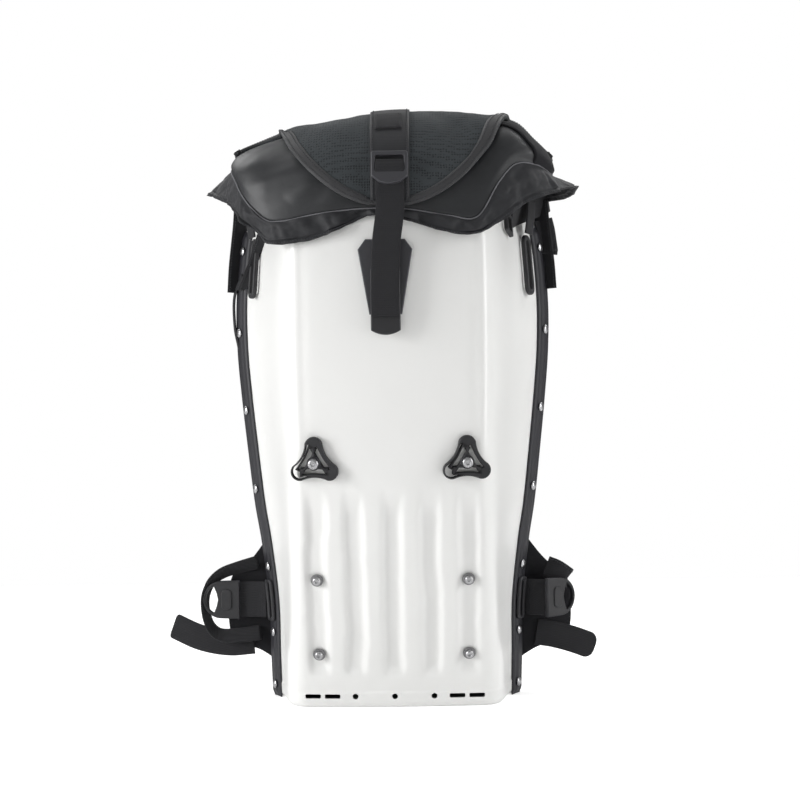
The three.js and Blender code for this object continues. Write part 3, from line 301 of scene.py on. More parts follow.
STRAP_STEPS = 40
PLATE_MARGIN = 0.0003
STITCH_PITCH = 0.0026
STITCH_THICK = 0.0005

# Slits between pieces, rigid and loose
SEAT = 0.0004
LOOSE_SEAT = 0.00085

# How the cushions swell in their cloth simulation
PUFF_CAP = 0.005
PUFF_VOXEL = 0.005
PUFF_PRESSURE = 4.0
PUFF_FRAMES = 20

# Shell, trims, back panel and lid. Powers set how square their curves are
FRONT_CROWN = 0.05
RIM_FLARE = math.radians(33)
RIM_REACH = 0.47
BASE_FILLET = 0.004
SHELL_WALL = 0.003
TRIM_LINE = 1.7
TRIM_LIP = 0.011
TRIM_TOP = 0.94
PANEL_THICK = 0.006
PANEL_BACK = SEAT + PANEL_THICK
PANEL_INSET = 0.003
STRAP_SKEW = 0.12
LID_SHIFT = 0.003
LID_SEAT = 0.93
LID_PLAN_POWER = 3
LID_DOME_POWER = 2.6
FLAP_BACK = math.radians(-66)
FLAP_CORNER = math.radians(-14)
WING_SWEEP = 0.008


def length(name, default, description):
    return FloatProperty(name=name, default=default, description=description, unit="LENGTH")


def colour(name, default, description):
    return FloatVectorProperty(
        name=name, default=default, description=description, subtype="COLOR", size=3, min=0, max=1
    )


class BackpackSizes(bpy.types.PropertyGroup):
    """Sizes of the backpack, in metres."""

    shell_height: length("Shell height", 0.47, "Height of the moulded shell")
    shell_width: length("Shell width", 0.29, "Width across the rims where they are widest")
    shell_depth: length("Shell depth", 0.15, "Depth of the shell where it is deepest")
    front_half: length("Front half width", 0.08, "Half width of the flat front")
    groove_pitch: length("Groove pitch", 0.034, "Distance between the grooves of the lower front")
    groove_width: length("Groove width", 0.018, "Width of a groove")
    groove_depth: length("Groove depth", 0.004, "Depth of a groove")
    groove_foot: length("Groove foot", 0.034, "Height of the grooves' lower ends")
    groove_head: length("Groove head", 0.19, "Height of the grooves' upper ends")
    trim_width: length("Trim width", 0.017, "Width of the edge trim")
    trim_thick: length("Trim thickness", 0.0025, "Thickness of the edge trim")
    lid_rise: length("Lid rise", 0.092, "Height of the lid's dome above the shell")
    lid_width: length("Lid width", 0.292, "Width of the lid at its piping")
    lid_depth: length("Lid depth", 0.175, "Depth of the lid at its piping")
    lid_drop: length("Lid drop", 0.052, "How far the lowest hem hangs below the shell's top")
    ear_reach: length("Ear reach", 0.024, "How far the corners of the skirt stick out")
    lid_overhang: length("Lid overhang", 0.0032, "How far the lid stands ahead of the shell")
    lid_cloth: length("Lid cloth", 0.002, "Thickness of the hood's and skirt's cloth")
    flap_width: length("Flap width", 0.284, "Width of the flap")
    flap_thick: length("Flap thickness", 0.003, "Thickness of the flap's spacer mesh")
    flap_lift: length("Flap lift", 0.0036, "How far the flap lies above the hood")
    flap_tip: length("Flap tip", 0.02, "How far the flap's tip hangs below the shell's top")
    flap_side: length("Flap side", 0.097, "Where the flap's front edge crosses the top of the dome")
    flap_climb: length("Flap climb", 0.064, "How far the flap's edge climbs from its tip")
    binding: length("Binding width", 0.0085, "Width of the tape that binds the flap")
    webbing_thick: length("Webbing thickness", 0.0016, "Thickness of every webbing")
    closure_width: length("Closure width", 0.025, "Width of the closure's webbing")
    belt_width: length("Belt width", 0.034, "Width of the hip belt's webbing")
    strap_width: length("Strap width", 0.058, "Width of a shoulder strap")
    strap_thick: length("Strap thickness", 0.01, "Thickness of a shoulder strap")
    strap_reach: length("Strap reach", 0.044, "How far a shoulder strap stands off the back")
    knob_apart: length("Knob distance", 0.134, "Distance between the two knobs")
    knob_arm: length("Knob arm", 0.0155, "From a knob's middle to the middle of a corner")


class BackpackColours(bpy.types.PropertyGroup):
    """Colours of the backpack."""

    shell: colour("Shell", (0.82, 0.82, 0.805), "Moulded shell")
    trim: colour("Trim", (0.012, 0.012, 0.016), "Edge trim")
    steel: colour("Steel", (0.45, 0.45, 0.46), "Screws, washers and rivets")
    plastic: colour("Plastic", (0.012, 0.012, 0.014), "Buckles, knobs and hooks")
    webbing: colour("Webbing", (0.016, 0.016, 0.018), "Webbing")
    hood: colour("Hood", (0.012, 0.013, 0.015), "Coated cloth of the hood")
    skirt: colour("Skirt", (0.014, 0.0145, 0.017), "Cloth of the skirt and the binding")
    mesh: colour("Mesh", (0.036, 0.041, 0.0445), "Spacer mesh of the flap")
    binding: colour("Binding", (0.022, 0.022, 0.024), "Tape that binds the flap")
    piping: colour("Piping", (0.13, 0.13, 0.14), "Piping round the hood")
    padding: colour("Padding", (0.012, 0.012, 0.014), "Padded cloth of the back")


def sizes():
    return bpy.context.scene.backpack_sizes


def colours():
    return bpy.context.scene.backpack_colours


# Reading tables and curves


def reading(rows, at, column, period=0.0):
    """A smooth curve through one column of a table."""
    places = [row[at] for row in rows]
    values = [row[column] for row in rows]
    if period:
        places = [places[-2] - period, places[-1] - period, *places, *(p + period for p in places[:3])]
        values = [values[-2], values[-1], *values, *values[:3]]
    places = np.array(places, float)
    values = np.array(values, float)
    last = len(places) - 1

    def read(x):
        x = np.asarray(x, float)
        if period:
            x = np.mod(x, period)
        i = np.clip(np.searchsorted(places, x, side="right") - 1, 0, last - 1)
        before, after, beyond = np.maximum(i - 1, 0), i + 1, np.minimum(i + 2, last)
        span = places[after] - places[i]
        t = np.clip((x - places[i]) / span, 0, 1)
        start = (values[after] - values[before]) / (places[after] - places[before]) * span
        end = (values[beyond] - values[i]) / (places[beyond] - places[i]) * span
        return (
            (2 * t**3 - 3 * t**2 + 1) * values[i]
            + (t**3 - 2 * t**2 + t) * start
            + (3 * t**2 - 2 * t**3) * values[after]
            + (t**3 - t**2) * end
        )

    return read


def smooth(x, low, high):
    t = np.clip((np.asarray(x, float) - low) / (high - low), 0, 1)
    return t * t * (3 - 2 * t)


def mix(a, b, t):
    return a + (b - a) * t


def waves(x, seed):
    """A sum of sines that wanders between about -1 and 1, always the same for a seed."""
    total = 0
    for k in range(5):
        total = total + np.sin(x * (1 + 0.73 * k) + seed * (1.7 + k)) / (1 + 0.6 * k)
    return total / 2


def smooth_route(points, count):
    """Points spaced evenly along a smooth curve through the given ones."""
    points = np.array(points, float)
    ends = np.vstack([2 * points[0] - points[1], points, 2 * points[-1] - points[-2]])
    dense = []
    for i in range(len(points) - 1):
        a, b, c, d = ends[i : i + 4]
        for t in np.linspace(0, 1, 24, endpoint=False):
            square, cube = 2 * a - 5 * b + 4 * c - d, 3 * b - a - 3 * c + d
            dense.append(0.5 * (2 * b + (c - a) * t + square * t**2 + cube * t**3))
    dense.append(points[-1])
    dense = np.array(dense)
    run = np.concatenate([[0], np.cumsum(np.linalg.norm(np.diff(dense, axis=0), axis=1))])
    even = np.linspace(0, run[-1], count)
    return np.stack([np.interp(even, run, dense[:, k]) for k in range(3)], axis=1)


def crumple(points, wrinkles, seed=0.0, octaves=4):
    """Fractal noise between about -1 and 1, with so many wrinkles to the metre."""
    flat = np.asarray(points).reshape(-1, 3) * wrinkles + seed
    total = [noise.fractal(Vector(p), 0.8, 2.0, octaves) for p in flat]
    return np.array(total).reshape(np.shape(points)[:-1])


def creased(points, wrinkles, seed=0.0, octaves=3):
    """Noise from 0 to about 1 with sharp ridges, as in folded cloth."""
    flat = np.asarray(points).reshape(-1, 3) * wrinkles + seed
    total = [noise.ridged_multi_fractal(Vector(p), 0.9, 2.0, octaves, 1.0, 1.6) for p in flat]
    return np.clip(np.array(total).reshape(np.shape(points)[:-1]) / 2.2, 0, 1)


def unit(v):
    v = np.asarray(v, float)
    return v / np.maximum(np.linalg.norm(v, axis=-1, keepdims=True), 1e-12)


def normals(grid):
    """Unit normals of a grid of points shaped (rows, columns, 3)."""
    return unit(np.cross(np.gradient(grid, axis=1), np.gradient(grid, axis=0)))


# Meshes


def offset():
    """From the shell's own frame, its rim plane at y = 0, to the frame of the part."""
    low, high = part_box("shell")
    return np.array([(low[0] + high[0]) / 2, high[1], low[2]])


def piece(name, points, faces, finish, nodes=(), slot=None):
    """A piece of the backpack from points in the shell's frame."""
    mesh = bpy.data.meshes.new(name)
    mesh.from_pydata((np.asarray(points) + offset()).tolist(), [], [list(map(int, f)) for f in faces])
    mesh.validate()
    clean = bmesh.new()
    clean.from_mesh(mesh)
    bmesh.ops.remove_doubles(clean, verts=clean.verts, dist=1e-6)
    bmesh.ops.recalc_face_normals(clean, faces=clean.faces)
    clean.to_mesh(mesh)
    clean.free()
    obj = bpy.data.objects.new(name, mesh)
    bpy.context.scene.collection.objects.link(obj)
    mesh.materials.append(finish)
    mesh.shade_smooth()
    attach(obj, "root")
    if nodes:
        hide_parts(*nodes)
    return obj


def crisp(obj, angle=35):
    """Keeps edges sharper than an angle."""
    obj.data.set_sharp_from_angle(angle=math.radians(angle))


def grid_faces(rows, columns, base=0, ring=False):
    j, i = np.meshgrid(np.arange(rows - 1), np.arange(columns if ring else columns - 1), indexing="ij")
    a = base + j * columns + i
    b = base + j * columns + (i + 1) % columns
    return np.stack([a, b, b + columns, a + columns], axis=-1).reshape(-1, 4)


def skin(outer, inner, ring=False):
    """Points and faces of a closed body between two grids shaped (rows, columns, 3)."""
    rows, columns = outer.shape[:2]
    count = rows * columns
    faces = [grid_faces(rows, columns, 0, ring), grid_faces(rows, columns, count, ring)[:, ::-1]]
    spans = columns if ring else columns - 1
    i = np.arange(spans)
    n = (i + 1) % columns
    top = (rows - 1) * columns
    faces.append(np.stack([i, i + count, n + count, n], axis=-1))
    faces.append(np.stack([top + i, top + n, top + n + count, top + i + count], axis=-1))
    if not ring:
        j = np.arange(rows - 1) * columns
        k = j + columns
        faces.append(np.stack([j, k, k + count, j + count], axis=-1))
        j, k = j + columns - 1, k + columns - 1
        faces.append(np.stack([j, j + count, k + count, k], axis=-1))
    return np.vstack([outer.reshape(-1, 3), inner.reshape(-1, 3)]), np.vstack(faces)


def sweep(route, wide, profile, closed=False):
    """Points and faces of a profile of (across, up) pairs carried along a route."""
    route = np.asarray(route, float)
    round_trip = np.roll(route, -1, 0) - np.roll(route, 1, 0)
    tangent = unit(round_trip if closed else np.gradient(route, axis=0))
    wide = np.broadcast_to(np.asarray(wide, float), route.shape)
    wide = unit(wide - tangent * np.sum(wide * tangent, axis=1, keepdims=True))
    up = np.cross(tangent, wide)
    profile = np.asarray(profile, float)
    if profile.ndim == 2:
        profile = np.broadcast_to(profile, (len(route), *profile.shape))
    points = route[:, None] + profile[..., :1] * wide[:, None] + profile[..., 1:] * up[:, None]
    rows, columns = points.shape[:2]
    if closed:
        points = np.vstack([points, points[:1]])
        return points.reshape(-1, 3), list(grid_faces(rows + 1, columns, 0, True))
    faces = [list(f) for f in grid_faces(rows, columns, 0, True)]
    faces.append(list(range(columns))[::-1])
    faces.append([(rows - 1) * columns + i for i in range(columns)])
    return points.reshape(-1, 3), faces


def strap_profile(width, thick):
    """Outline of a webbing's section, its edges rounded."""
    half, rise = width / 2, thick / 2
    flat = half - thick * 0.45
    bulge = half - thick * 0.45 * 0.3
    across = np.linspace(flat, -flat, 7)
    top = [(x, rise) for x in across]
    left = [(-bulge, rise * 0.7), (-half, 0), (-bulge, -rise * 0.7)]
    bottom = [(x, -rise) for x in across[::-1]]
    right = [(bulge, -rise * 0.7), (half, 0), (bulge, rise * 0.7)]
    return top + left + bottom + right


def circle_profile(radius):
    turn = np.arange(10) * 2 * math.pi / 10
    return np.stack([np.cos(turn) * radius, np.sin(turn) * radius], axis=1)


def webbing(name, route, width, wide, nodes=(), count=STRAP_STEPS, corner=0.0):
    """Webbing along a route, with the corners of its far end rounded if corner is given."""
    thick = sizes().webbing_thick
    count = count * 3 if corner else count
    path = smooth_route(route, count)
    across = wide(np.linspace(0, 1, count)) if callable(wide) else wide
    profile = np.array(strap_profile(width, thick))
    if corner:
        run = np.concatenate([[0], np.cumsum(np.linalg.norm(np.diff(path, axis=0), axis=1))])
        left = np.clip(run[-1] - run, 0, corner)
        less = corner - np.sqrt(corner**2 - (corner - left) ** 2)
        profile = profile[None] * np.stack([1 - 2 * less / width, 1 + 0 * less], axis=1)[:, None]
    return piece(name, *sweep(path, across, profile), webbing_finish(), nodes, "webbing")


def turned(profile, count=24):
    """Points and faces of a closed body turned about its own z axis."""
    profile = np.asarray(profile, float)
    turn = np.arange(count) * 2 * math.pi / count
    rings = np.stack(
        [
            profile[:, None, 0] * np.cos(turn),
            profile[:, None, 0] * np.sin(turn),
            np.broadcast_to(profile[:, None, 1], (len(profile), count)),
        ],
        axis=-1,
    )
    faces = [list(f) for f in grid_faces(len(profile), count, 0, True)]
    return rings.reshape(-1, 3), faces


def facing(normal):
    """Matrix whose z axis is a normal and whose y axis is as near upward as it goes."""
    ahead = unit(normal)
    right = unit(np.cross([0, 0, 1], ahead))
    return np.stack([right, np.cross(ahead, right), ahead], axis=1)


def forward(normal):
    """The same normal, turned round if it faces the back."""
    return -normal if normal[1] > 0 else normal


def seated(part, at, normal):
    """Points and faces of a part stood on a place, its z axis along a normal."""
    points, faces = part
    return np.asarray(points) @ facing(normal).T + np.asarray(at), faces


def spun(part, turn, slide=(0, 0, 0)):
    """Points and faces of a part slid, then turned about its z axis."""
    x, y, z = (np.asarray(part[0]) + slide).T
    c, n = math.cos(turn), math.sin(turn)
    return np.stack([x * c - y * n, x * n + y * c, z], axis=1), part[1]


def joined(parts):
    """One list of points and faces from several."""
    points, faces, count = [], [], 0
    for some, around in parts:
        points.append(np.asarray(some))
        faces += [[int(i) + count for i in f] for f in around]
        count += len(some)
    return np.vstack(points), faces


def oriented(ring, forward):
    """A ring of points that runs anticlockwise, or clockwise."""
    ring = np.array(ring, float)
    ahead = np.roll(ring, -1, 0)
    ring = ring[np.linalg.norm(ahead - ring, axis=1) > 1e-6]
    ahead = np.roll(ring, -1, 0)
    area = np.sum(ring[:, 0] * ahead[:, 1] - ahead[:, 0] * ring[:, 1])
    return ring if (area > 0) == forward else ring[::-1]


def drawn_in(ring, distance):
    """A ring moved a distance to its left."""
    along = unit(np.roll(ring, -1, 0) - ring)
    both = unit(along + np.roll(along, 1, 0))
    left = np.stack([-both[:, 1], both[:, 0]], axis=1)
    widen = 1 / np.maximum(np.sum(both * along, axis=1), 0.5)
    return ring + left * distance * widen[:, None]


def plate(outline, holes, thick, bevel, resolution=2):
    """Points and faces of a flat plate with rounded edges, its back on z = 0."""
    rings = [oriented(outline, True)] + [oriented(hole, False) for hole in holes]
    turn = np.linspace(0, math.pi / 2, resolution + 2)
    low = [(bevel + PLATE_MARGIN, 0)] + [(bevel * (1 - math.sin(a)), bevel * (1 - math.cos(a))) for a in turn]
    levels = low + [(by, thick - z) for by, z in reversed(low)]
    points, faces, bottom, top = [], [], [], []
    for ring in rings:
        base, count = len(points), len(ring)
        for by, z in levels:
            points += [(x, y, z) for x, y in drawn_in(ring, by)]
        faces += [list(f) for f in grid_faces(len(levels), count, base, True)]
        bottom += range(base, base + count)
        top += range(base + (len(levels) - 1) * count, base + len(levels) * count)
    flat = [drawn_in(ring, bevel + PLATE_MARGIN) * 1000 for ring in rings]
    cap = tessellate_polygon([[Vector((x, y, 0)) for x, y in ring] for ring in flat])
    faces += [[bottom[i] for i in triangle] for triangle in cap]
    faces += [[top[i] for i in reversed(triangle)] for triangle in cap]
    return np.array(points), faces


def arc(x, y, radius, start, end, count=8):
    return [(x + radius * math.cos(t), y + radius * math.sin(t)) for t in np.linspace(start, end, count)]


def bend(a, b, c, count=10):
    """Points along a curve from a to c drawn towards b, without its ends."""
    t = np.linspace(0, 1, count + 2)[1:-1, None]
    a, b, c = (np.array(p, float) for p in (a, b, c))
    return [tuple(p) for p in (1 - t) ** 2 * a + 2 * t * (1 - t) * b + t**2 * c]


def rounded(width, tall, radius, x=0.0, y=0.0, count=6):
    """Outline of a rectangle with rounded corners."""
    w, h, q = width / 2 - radius, tall / 2 - radius, math.pi / 2
    return (
        arc(x + w, y - h, radius, -q, 0, count)
        + arc(x + w, y + h, radius, 0, q, count)
        + arc(x - w, y + h, radius, q, 2 * q, count)
        + arc(x - w, y - h, radius, 2 * q, 3 * q, count)
    )


def stitches(name, path, up):
    """A row of thread stitches along a path, with up the way off the cloth."""
    pitch, size = STITCH_PITCH, STITCH_THICK
    path = np.asarray(path, float)
    run = np.concatenate([[0], np.cumsum(np.linalg.norm(np.diff(path, axis=0), axis=1))])
    parts = []
    ball, around = turned(THREAD, 6)
    up = np.broadcast_to(np.asarray(up, float), path.shape)
    for at in np.arange(pitch / 2, run[-1], pitch):
        centre = np.array([np.interp(at, run, path[:, k]) for k in range(3)])
        ahead = np.array([np.interp(min(at + pitch / 2, run[-1]), run, path[:, k]) for k in range(3)])
        rise = unit(np.array([np.interp(at, run, up[:, k]) for k in range(3)]))
        along = unit(ahead - centre)
        side = np.cross(rise, along)
        shape = ball * [size, size * 0.7, pitch * 0.36]
        parts.append((centre + shape[:, :1] * side + shape[:, 1:2] * rise + shape[:, 2:] * along, around))
    return piece(name, *joined(parts), thread_finish(), slot="webbing")


# Surface of the shell


def half_width(z):
    s = sizes()
    return s.shell_width / 2 * WIDE(z / s.shell_height)


def depth(z):
    s = sizes()
    return s.shell_depth * DEEP(z / s.shell_height)


WIDE = reading(SHELL_PROFILE, "up", "wide")
DEEP = reading(SHELL_PROFILE, "up", "deep")
FULL = reading(SHELL_PROFILE, "up", "full")


def groove(x, z):
    """Depth of the five grooves, whose walls wander and swell a little."""
    s = sizes()
    window = smooth(z, s.groove_foot - 0.008, s.groove_foot + 0.008)
    window = window * (1 - smooth(z, s.groove_head - 0.016, s.groove_head + 0.016))
    total = 0
    for k in range(-2, 3):
        centre = k * s.groove_pitch + 0.0011 * waves(z * 34 + k * 1.9, 1.0 + k)
        half = s.groove_width / 2 * (1 + 0.07 * waves(z * 120 + k * 2.3, 2.0))
        total = total + np.exp(-(((x - centre) / half) ** 4))
    return s.groove_depth * window * total


def crease(x, z):
    """The soft upright lines beside the middle of the front, from under the lid to the knobs."""
    s = sizes()
    window = smooth(z, 0.5 * s.shell_height, 0.62 * s.shell_height)
    away = (np.abs(x) - s.front_half * 0.96) / 0.005
    return 0.0007 * window * np.exp(-(away**2))


def front_y(x, z, inset=0.0):
    s = sizes()
    return -(depth(z) - inset) * (1 - FRONT_CROWN * (x / s.front_half) ** 2) + groove(x, z) + crease(x, z)


def side_wall(share, z, inset=0.0):
    """The side wall from the crease at 0 to the rim at 1, for the right side."""
    s = sizes()
    rim = half_width(z) - inset / math.cos(RIM_FLARE)
    start_x = s.front_half - inset * 0.3
    deep = depth(z) - inset
    reach = RIM_REACH * deep
    run = rim - start_x
    start_y = -deep * (1 - FRONT_CROWN)
    xs = [start_x, start_x + FULL(z / s.shell_height) * run, rim - reach * math.sin(RIM_FLARE), rim]
    ys = [start_y, start_y + 0.12 * run, -reach * math.cos(RIM_FLARE), 0 * rim]
    t = np.asarray(share, float)
    w = [(1 - t) ** 3, 3 * t * (1 - t) ** 2, 3 * t**2 * (1 - t), t**3]
    return sum(a * b for a, b in zip(w, xs)), sum(a * b for a, b in zip(w, ys))


def trim_start(z):
    return 1 - sizes().trim_width / (3 * RIM_REACH * depth(z))


def section(along, z, inset=0.0):
    """along runs from the left rim at -2 through the creases at -1 and 1 to the right rim at 2."""
    s = sizes()
    side = np.abs(along)
    start = trim_start(z)
    wall = (side - 1) / (TRIM_LINE - 1) * start
    trim = mix(start, 1, (side - TRIM_LINE) / (2 - TRIM_LINE))
    share = np.where(side < TRIM_LINE, wall, trim)
    wall_x, wall_y = side_wall(np.clip(share, 0, 1), z, inset)
    front_x = along * (s.front_half - inset * 0.3)
    x = np.where(side <= 1, front_x, np.sign(along) * wall_x)
    y = np.where(side <= 1, front_y(front_x, z, inset), wall_y + crease(wall_x, z) + groove(wall_x, z))
    return x, y


def shell_surface(along, v, inset=0.0):
    """v below 0 runs back along the base, 0 to 1 round its fillet, and above 1 it is 1 + height."""
    radius = BASE_FILLET - inset
    angle = np.clip(v, 0, 1) * math.pi / 2
    drawn = inset + np.where(v > 1, 0, radius * (1 - np.sin(angle)))
    z = np.where(v > 1, v - 1, inset + radius * (1 - np.cos(angle)))
    lip = -0.0006 * (1 - smooth(z, 0.0135, 0.0155)) * (inset == 0) * (v > 0.9)
    x, y = section(along, np.maximum(z, BASE_FILLET), drawn + lip)
    y = np.where(v < 0, y * (1 + v), y)
    return np.stack([x, y, z + 0 * x], axis=-1)


def build_shell():
    s = sizes()
    quarter = np.concatenate([np.linspace(1, TRIM_LINE, 26), np.linspace(TRIM_LINE, 2, 8)[1:]])
    along = np.concatenate([-quarter[::-1], np.linspace(-1, 1, 150)[1:-1], quarter])
    rows = np.concatenate(
        [
            np.linspace(-1, 0, 6)[:-1],
            np.linspace(0, 1, 7)[:-1],
            1 + np.linspace(BASE_FILLET, 0.018, 14)[:-1],
            1 + np.linspace(0.018, 0.22, 80)[:-1],
            1 + np.linspace(0.22, s.shell_height, 60),
        ]
    )
    a, v = np.meshgrid(along, rows)
    outer = shell_surface(a, v, 0.0)
    inner = shell_surface(a, v, SHELL_WALL)
    points, faces = skin(outer, inner)
    shell = piece("moulded_shell", points, faces, shell_finish(), ["shell"], "white_shell")
    cut_holes(shell)
    crisp(shell, 50)


def cut_holes(shell):
    """Slots and round holes along the foot of the shell."""
    slot = plate(rounded(0.0142, 0.0042, 0.0012), [], 2 * HOLE_REACH, 0.0001, 0)
    round_hole = plate(arc(0, 0, 0.0027, 0, 2 * math.pi, 25)[:-1], [], 2 * HOLE_REACH, 0.0001, 0)
    cutters = []
    for cutter, places in ((slot, SLOT_PLACES), (round_hole, HOLE_PLACES)):
        for x in places:
            y = float(front_y(np.array(x), np.array(HOLE_HEIGHT)))
            cutters.append(seated(cutter, [x, y + HOLE_REACH, HOLE_HEIGHT], [0, -1, 0]))
    tool = piece("hole_cutter", *joined(cutters), shell_finish())
    change = shell.modifiers.new("Holes", "BOOLEAN")
    change.object = tool
    change.operation = "DIFFERENCE"
    change.solver = "EXACT"
    bpy.context.view_layer.objects.active = shell
    bpy.ops.object.modifier_apply(modifier=change.name)
    bpy.data.objects.remove(tool)


# Edge trims and rivets


def trim_surface(hand, u, z, cover):
    """u runs 0 to 1 across the wall, to 2 round the rim and to 3 along the lip behind it."""
    u = np.asarray(u, float)
    out = -(SEAT + cover)
    x, y = side_wall(mix(trim_start(z), 1, np.clip(u, 0, 1)), z, out)
    rim = half_width(z) - out / math.cos(RIM_FLARE)
    back = PANEL_BACK + SEAT + cover
    lip = half_width(z) - TRIM_LIP
    past = np.clip(u - 2, 0, 1)
    x = np.where(u <= 1, x, np.where(u <= 2, rim, mix(rim, lip, past)))
    y = np.where(u <= 1, y, mix(y * 0, back, np.clip(u - 1, 0, 1)))
    return np.stack([hand * x, y, z + 0 * x], axis=-1)


def build_trims():
    s = sizes()
    top = s.shell_height * TRIM_TOP
    for side, hand in SIDES:
        u = np.concatenate([np.linspace(0, 1, 15), np.linspace(1, 2, 6)[1:], np.linspace(2, 3, 5)[1:]])
        foot, head = np.linspace(0, 0.012, 7)[:-1], np.linspace(top - 0.012, top, 7)[1:]
        z = np.concatenate([foot, np.linspace(0.012, top - 0.012, 120), head])
        a, h = np.meshgrid(u, z)
        ridge = 0.0011 * np.exp(-(((a - 0.5) / 0.2) ** 4)) - 0.0013 * np.exp(-((a / 0.06) ** 2))
        ends = smooth(h, 0, 0.006) * (1 - smooth(h, top - 0.006, top))
        cover = s.trim_thick * mix(0.45, 1, ends) + ridge * ends
        outer = trim_surface(hand, a, h, cover)
        inner = trim_surface(hand, a, h, 0 * a)
        body = skin(outer, inner)
        crisp(piece(f"bound_edge_{side}", *body, trim_finish(), [f"edge_trim_{side}"], "trim"), 45)
        parts = []
        for share in RIVET_HEIGHTS:
            at, normal = trim_seat(hand, share * s.shell_height)
            parts.append(seated(turned(RIVET_HEAD, 28), at + normal * 0.0011, normal))
        nodes = [f"rivet_{side}_{i + 1}" for i in range(len(RIVET_HEIGHTS))]
        piece(f"rivets_{side}", *joined(parts), steel_finish(), nodes, "steel")


def trim_seat(hand, z):
    """A point on the middle of the trim's outer face, and the way that it faces."""
    step = 0.0005

    def at(u, h):
        return trim_surface(hand, np.array(u), np.array(h), sizes().trim_thick)

    across = at(0.52, z) - at(0.48, z)
    up = at(0.5, z + step) - at(0.5, z - step)
    normal = forward(unit(np.cross(across, up)))
    return at(0.5, z) + normal * 0.0002, normal


# Back panel, pads and shoulder straps


def build_back():
    s = sizes()
    z = np.linspace(0, s.shell_height, 90)
    u = np.linspace(-1, 1, 60)
    a, h = np.meshgrid(u, z)
    x = a * (half_width(h) - PANEL_INSET)
    outer = np.stack([x, PANEL_BACK + 0 * x, h], axis=-1)
    inner = np.stack([x, SEAT + 0 * x, h], axis=-1)
    quilt = 0.0009 * (np.cos(x / 0.03 * math.pi) * np.cos(h / 0.03 * math.pi))
    outer[..., 1] += quilt - 0.0009
    obj = piece("padded_back", *skin(outer, inner), padding_finish(), ["back_panel"], "padding")
    back_pad("lumbar_cushion", "lumbar_pad", 0, 0.16, 0.17, 0.096, 0.02)
    for side, hand in SIDES:
        back_pad(f"back_cushion_{side}", f"back_pad_{side}", hand * 0.05, 0.61, 0.078, 0.23, 0.014)


def back_pad(name, node, x, up, wide, tall, thick):
    """A cushion with a rounded outline, its back flat on the panel."""
    s = sizes()
    u = np.sin(np.linspace(-math.pi / 2, math.pi / 2, 27))
    a, b = np.meshgrid(u, u)
    round_off = (1 - np.abs(a * b) ** 4 * 0.12) * (1 - 0.06 * (a * b) ** 2)
    px = x + a * round_off * wide / 2
    pz = up * s.shell_height + b * round_off * tall / 2
    rise = (1 - a**6) * (1 - b**6)
    outer = np.stack([px, PANEL_BACK + SEAT + thick * (0.35 + 0.6 * rise), pz], axis=-1)
    inner = np.stack([px, PANEL_BACK + SEAT + 0 * px, pz], axis=-1)
    obj = piece(name, *skin(outer, inner), padding_finish(), [node], "padding")
    puff(obj, PANEL_BACK + SEAT + offset()[1])
    return obj


def puff(obj, floor_y):
    """Swells a pad by a cloth simulation, no further than a cap, and keeps its back flat."""
    before = obj.modifiers.new("Remesh", "REMESH")
    before.mode = "VOXEL"
    before.voxel_size = PUFF_VOXEL
    apply_all(obj)
    start = np.array([v.co[:] for v in obj.data.vertices])
    cloth = obj.modifiers.new("Cloth", "CLOTH")
    cloth.settings.use_pressure = True
    cloth.settings.uniform_pressure_force = PUFF_PRESSURE
    cloth.settings.effector_weights.gravity = 0
    cloth.settings.quality = 4
    cloth.point_cache.frame_start = 1
    cloth.point_cache.frame_end = PUFF_FRAMES
    scene = bpy.context.scene
    for number in range(1, PUFF_FRAMES + 1):
        scene.frame_set(number)
    apply_all(obj)
    moved = np.array([v.co[:] for v in obj.data.vertices]) - start
    far = np.linalg.norm(moved, axis=1, keepdims=True)
    moved *= np.minimum(1, PUFF_CAP / np.maximum(far, 1e-9))
    points = start + moved
    points[:, 1] = np.maximum(points[:, 1], floor_y)
    obj.data.vertices.foreach_set("co", points.astype(np.float32).ravel())
    scene.frame_set(1)
    finer = obj.modifiers.new("Finer", "SUBSURF")
    finer.levels = 1
    finer.render_levels = 1
    apply_all(obj)
    obj.data.shade_smooth()


def apply_all(obj):
    """Replaces the mesh by what its modifiers make of it."""
    shaped = obj.evaluated_get(bpy.context.evaluated_depsgraph_get())
    mesh = bpy.data.meshes.new_from_object(shaped)
    old = obj.data
    finish = old.materials[0]
    obj.modifiers.clear()
    obj.data = mesh
    mesh.name = obj.name
    mesh.materials.clear()
    mesh.materials.append(finish)
    bpy.data.meshes.remove(old)


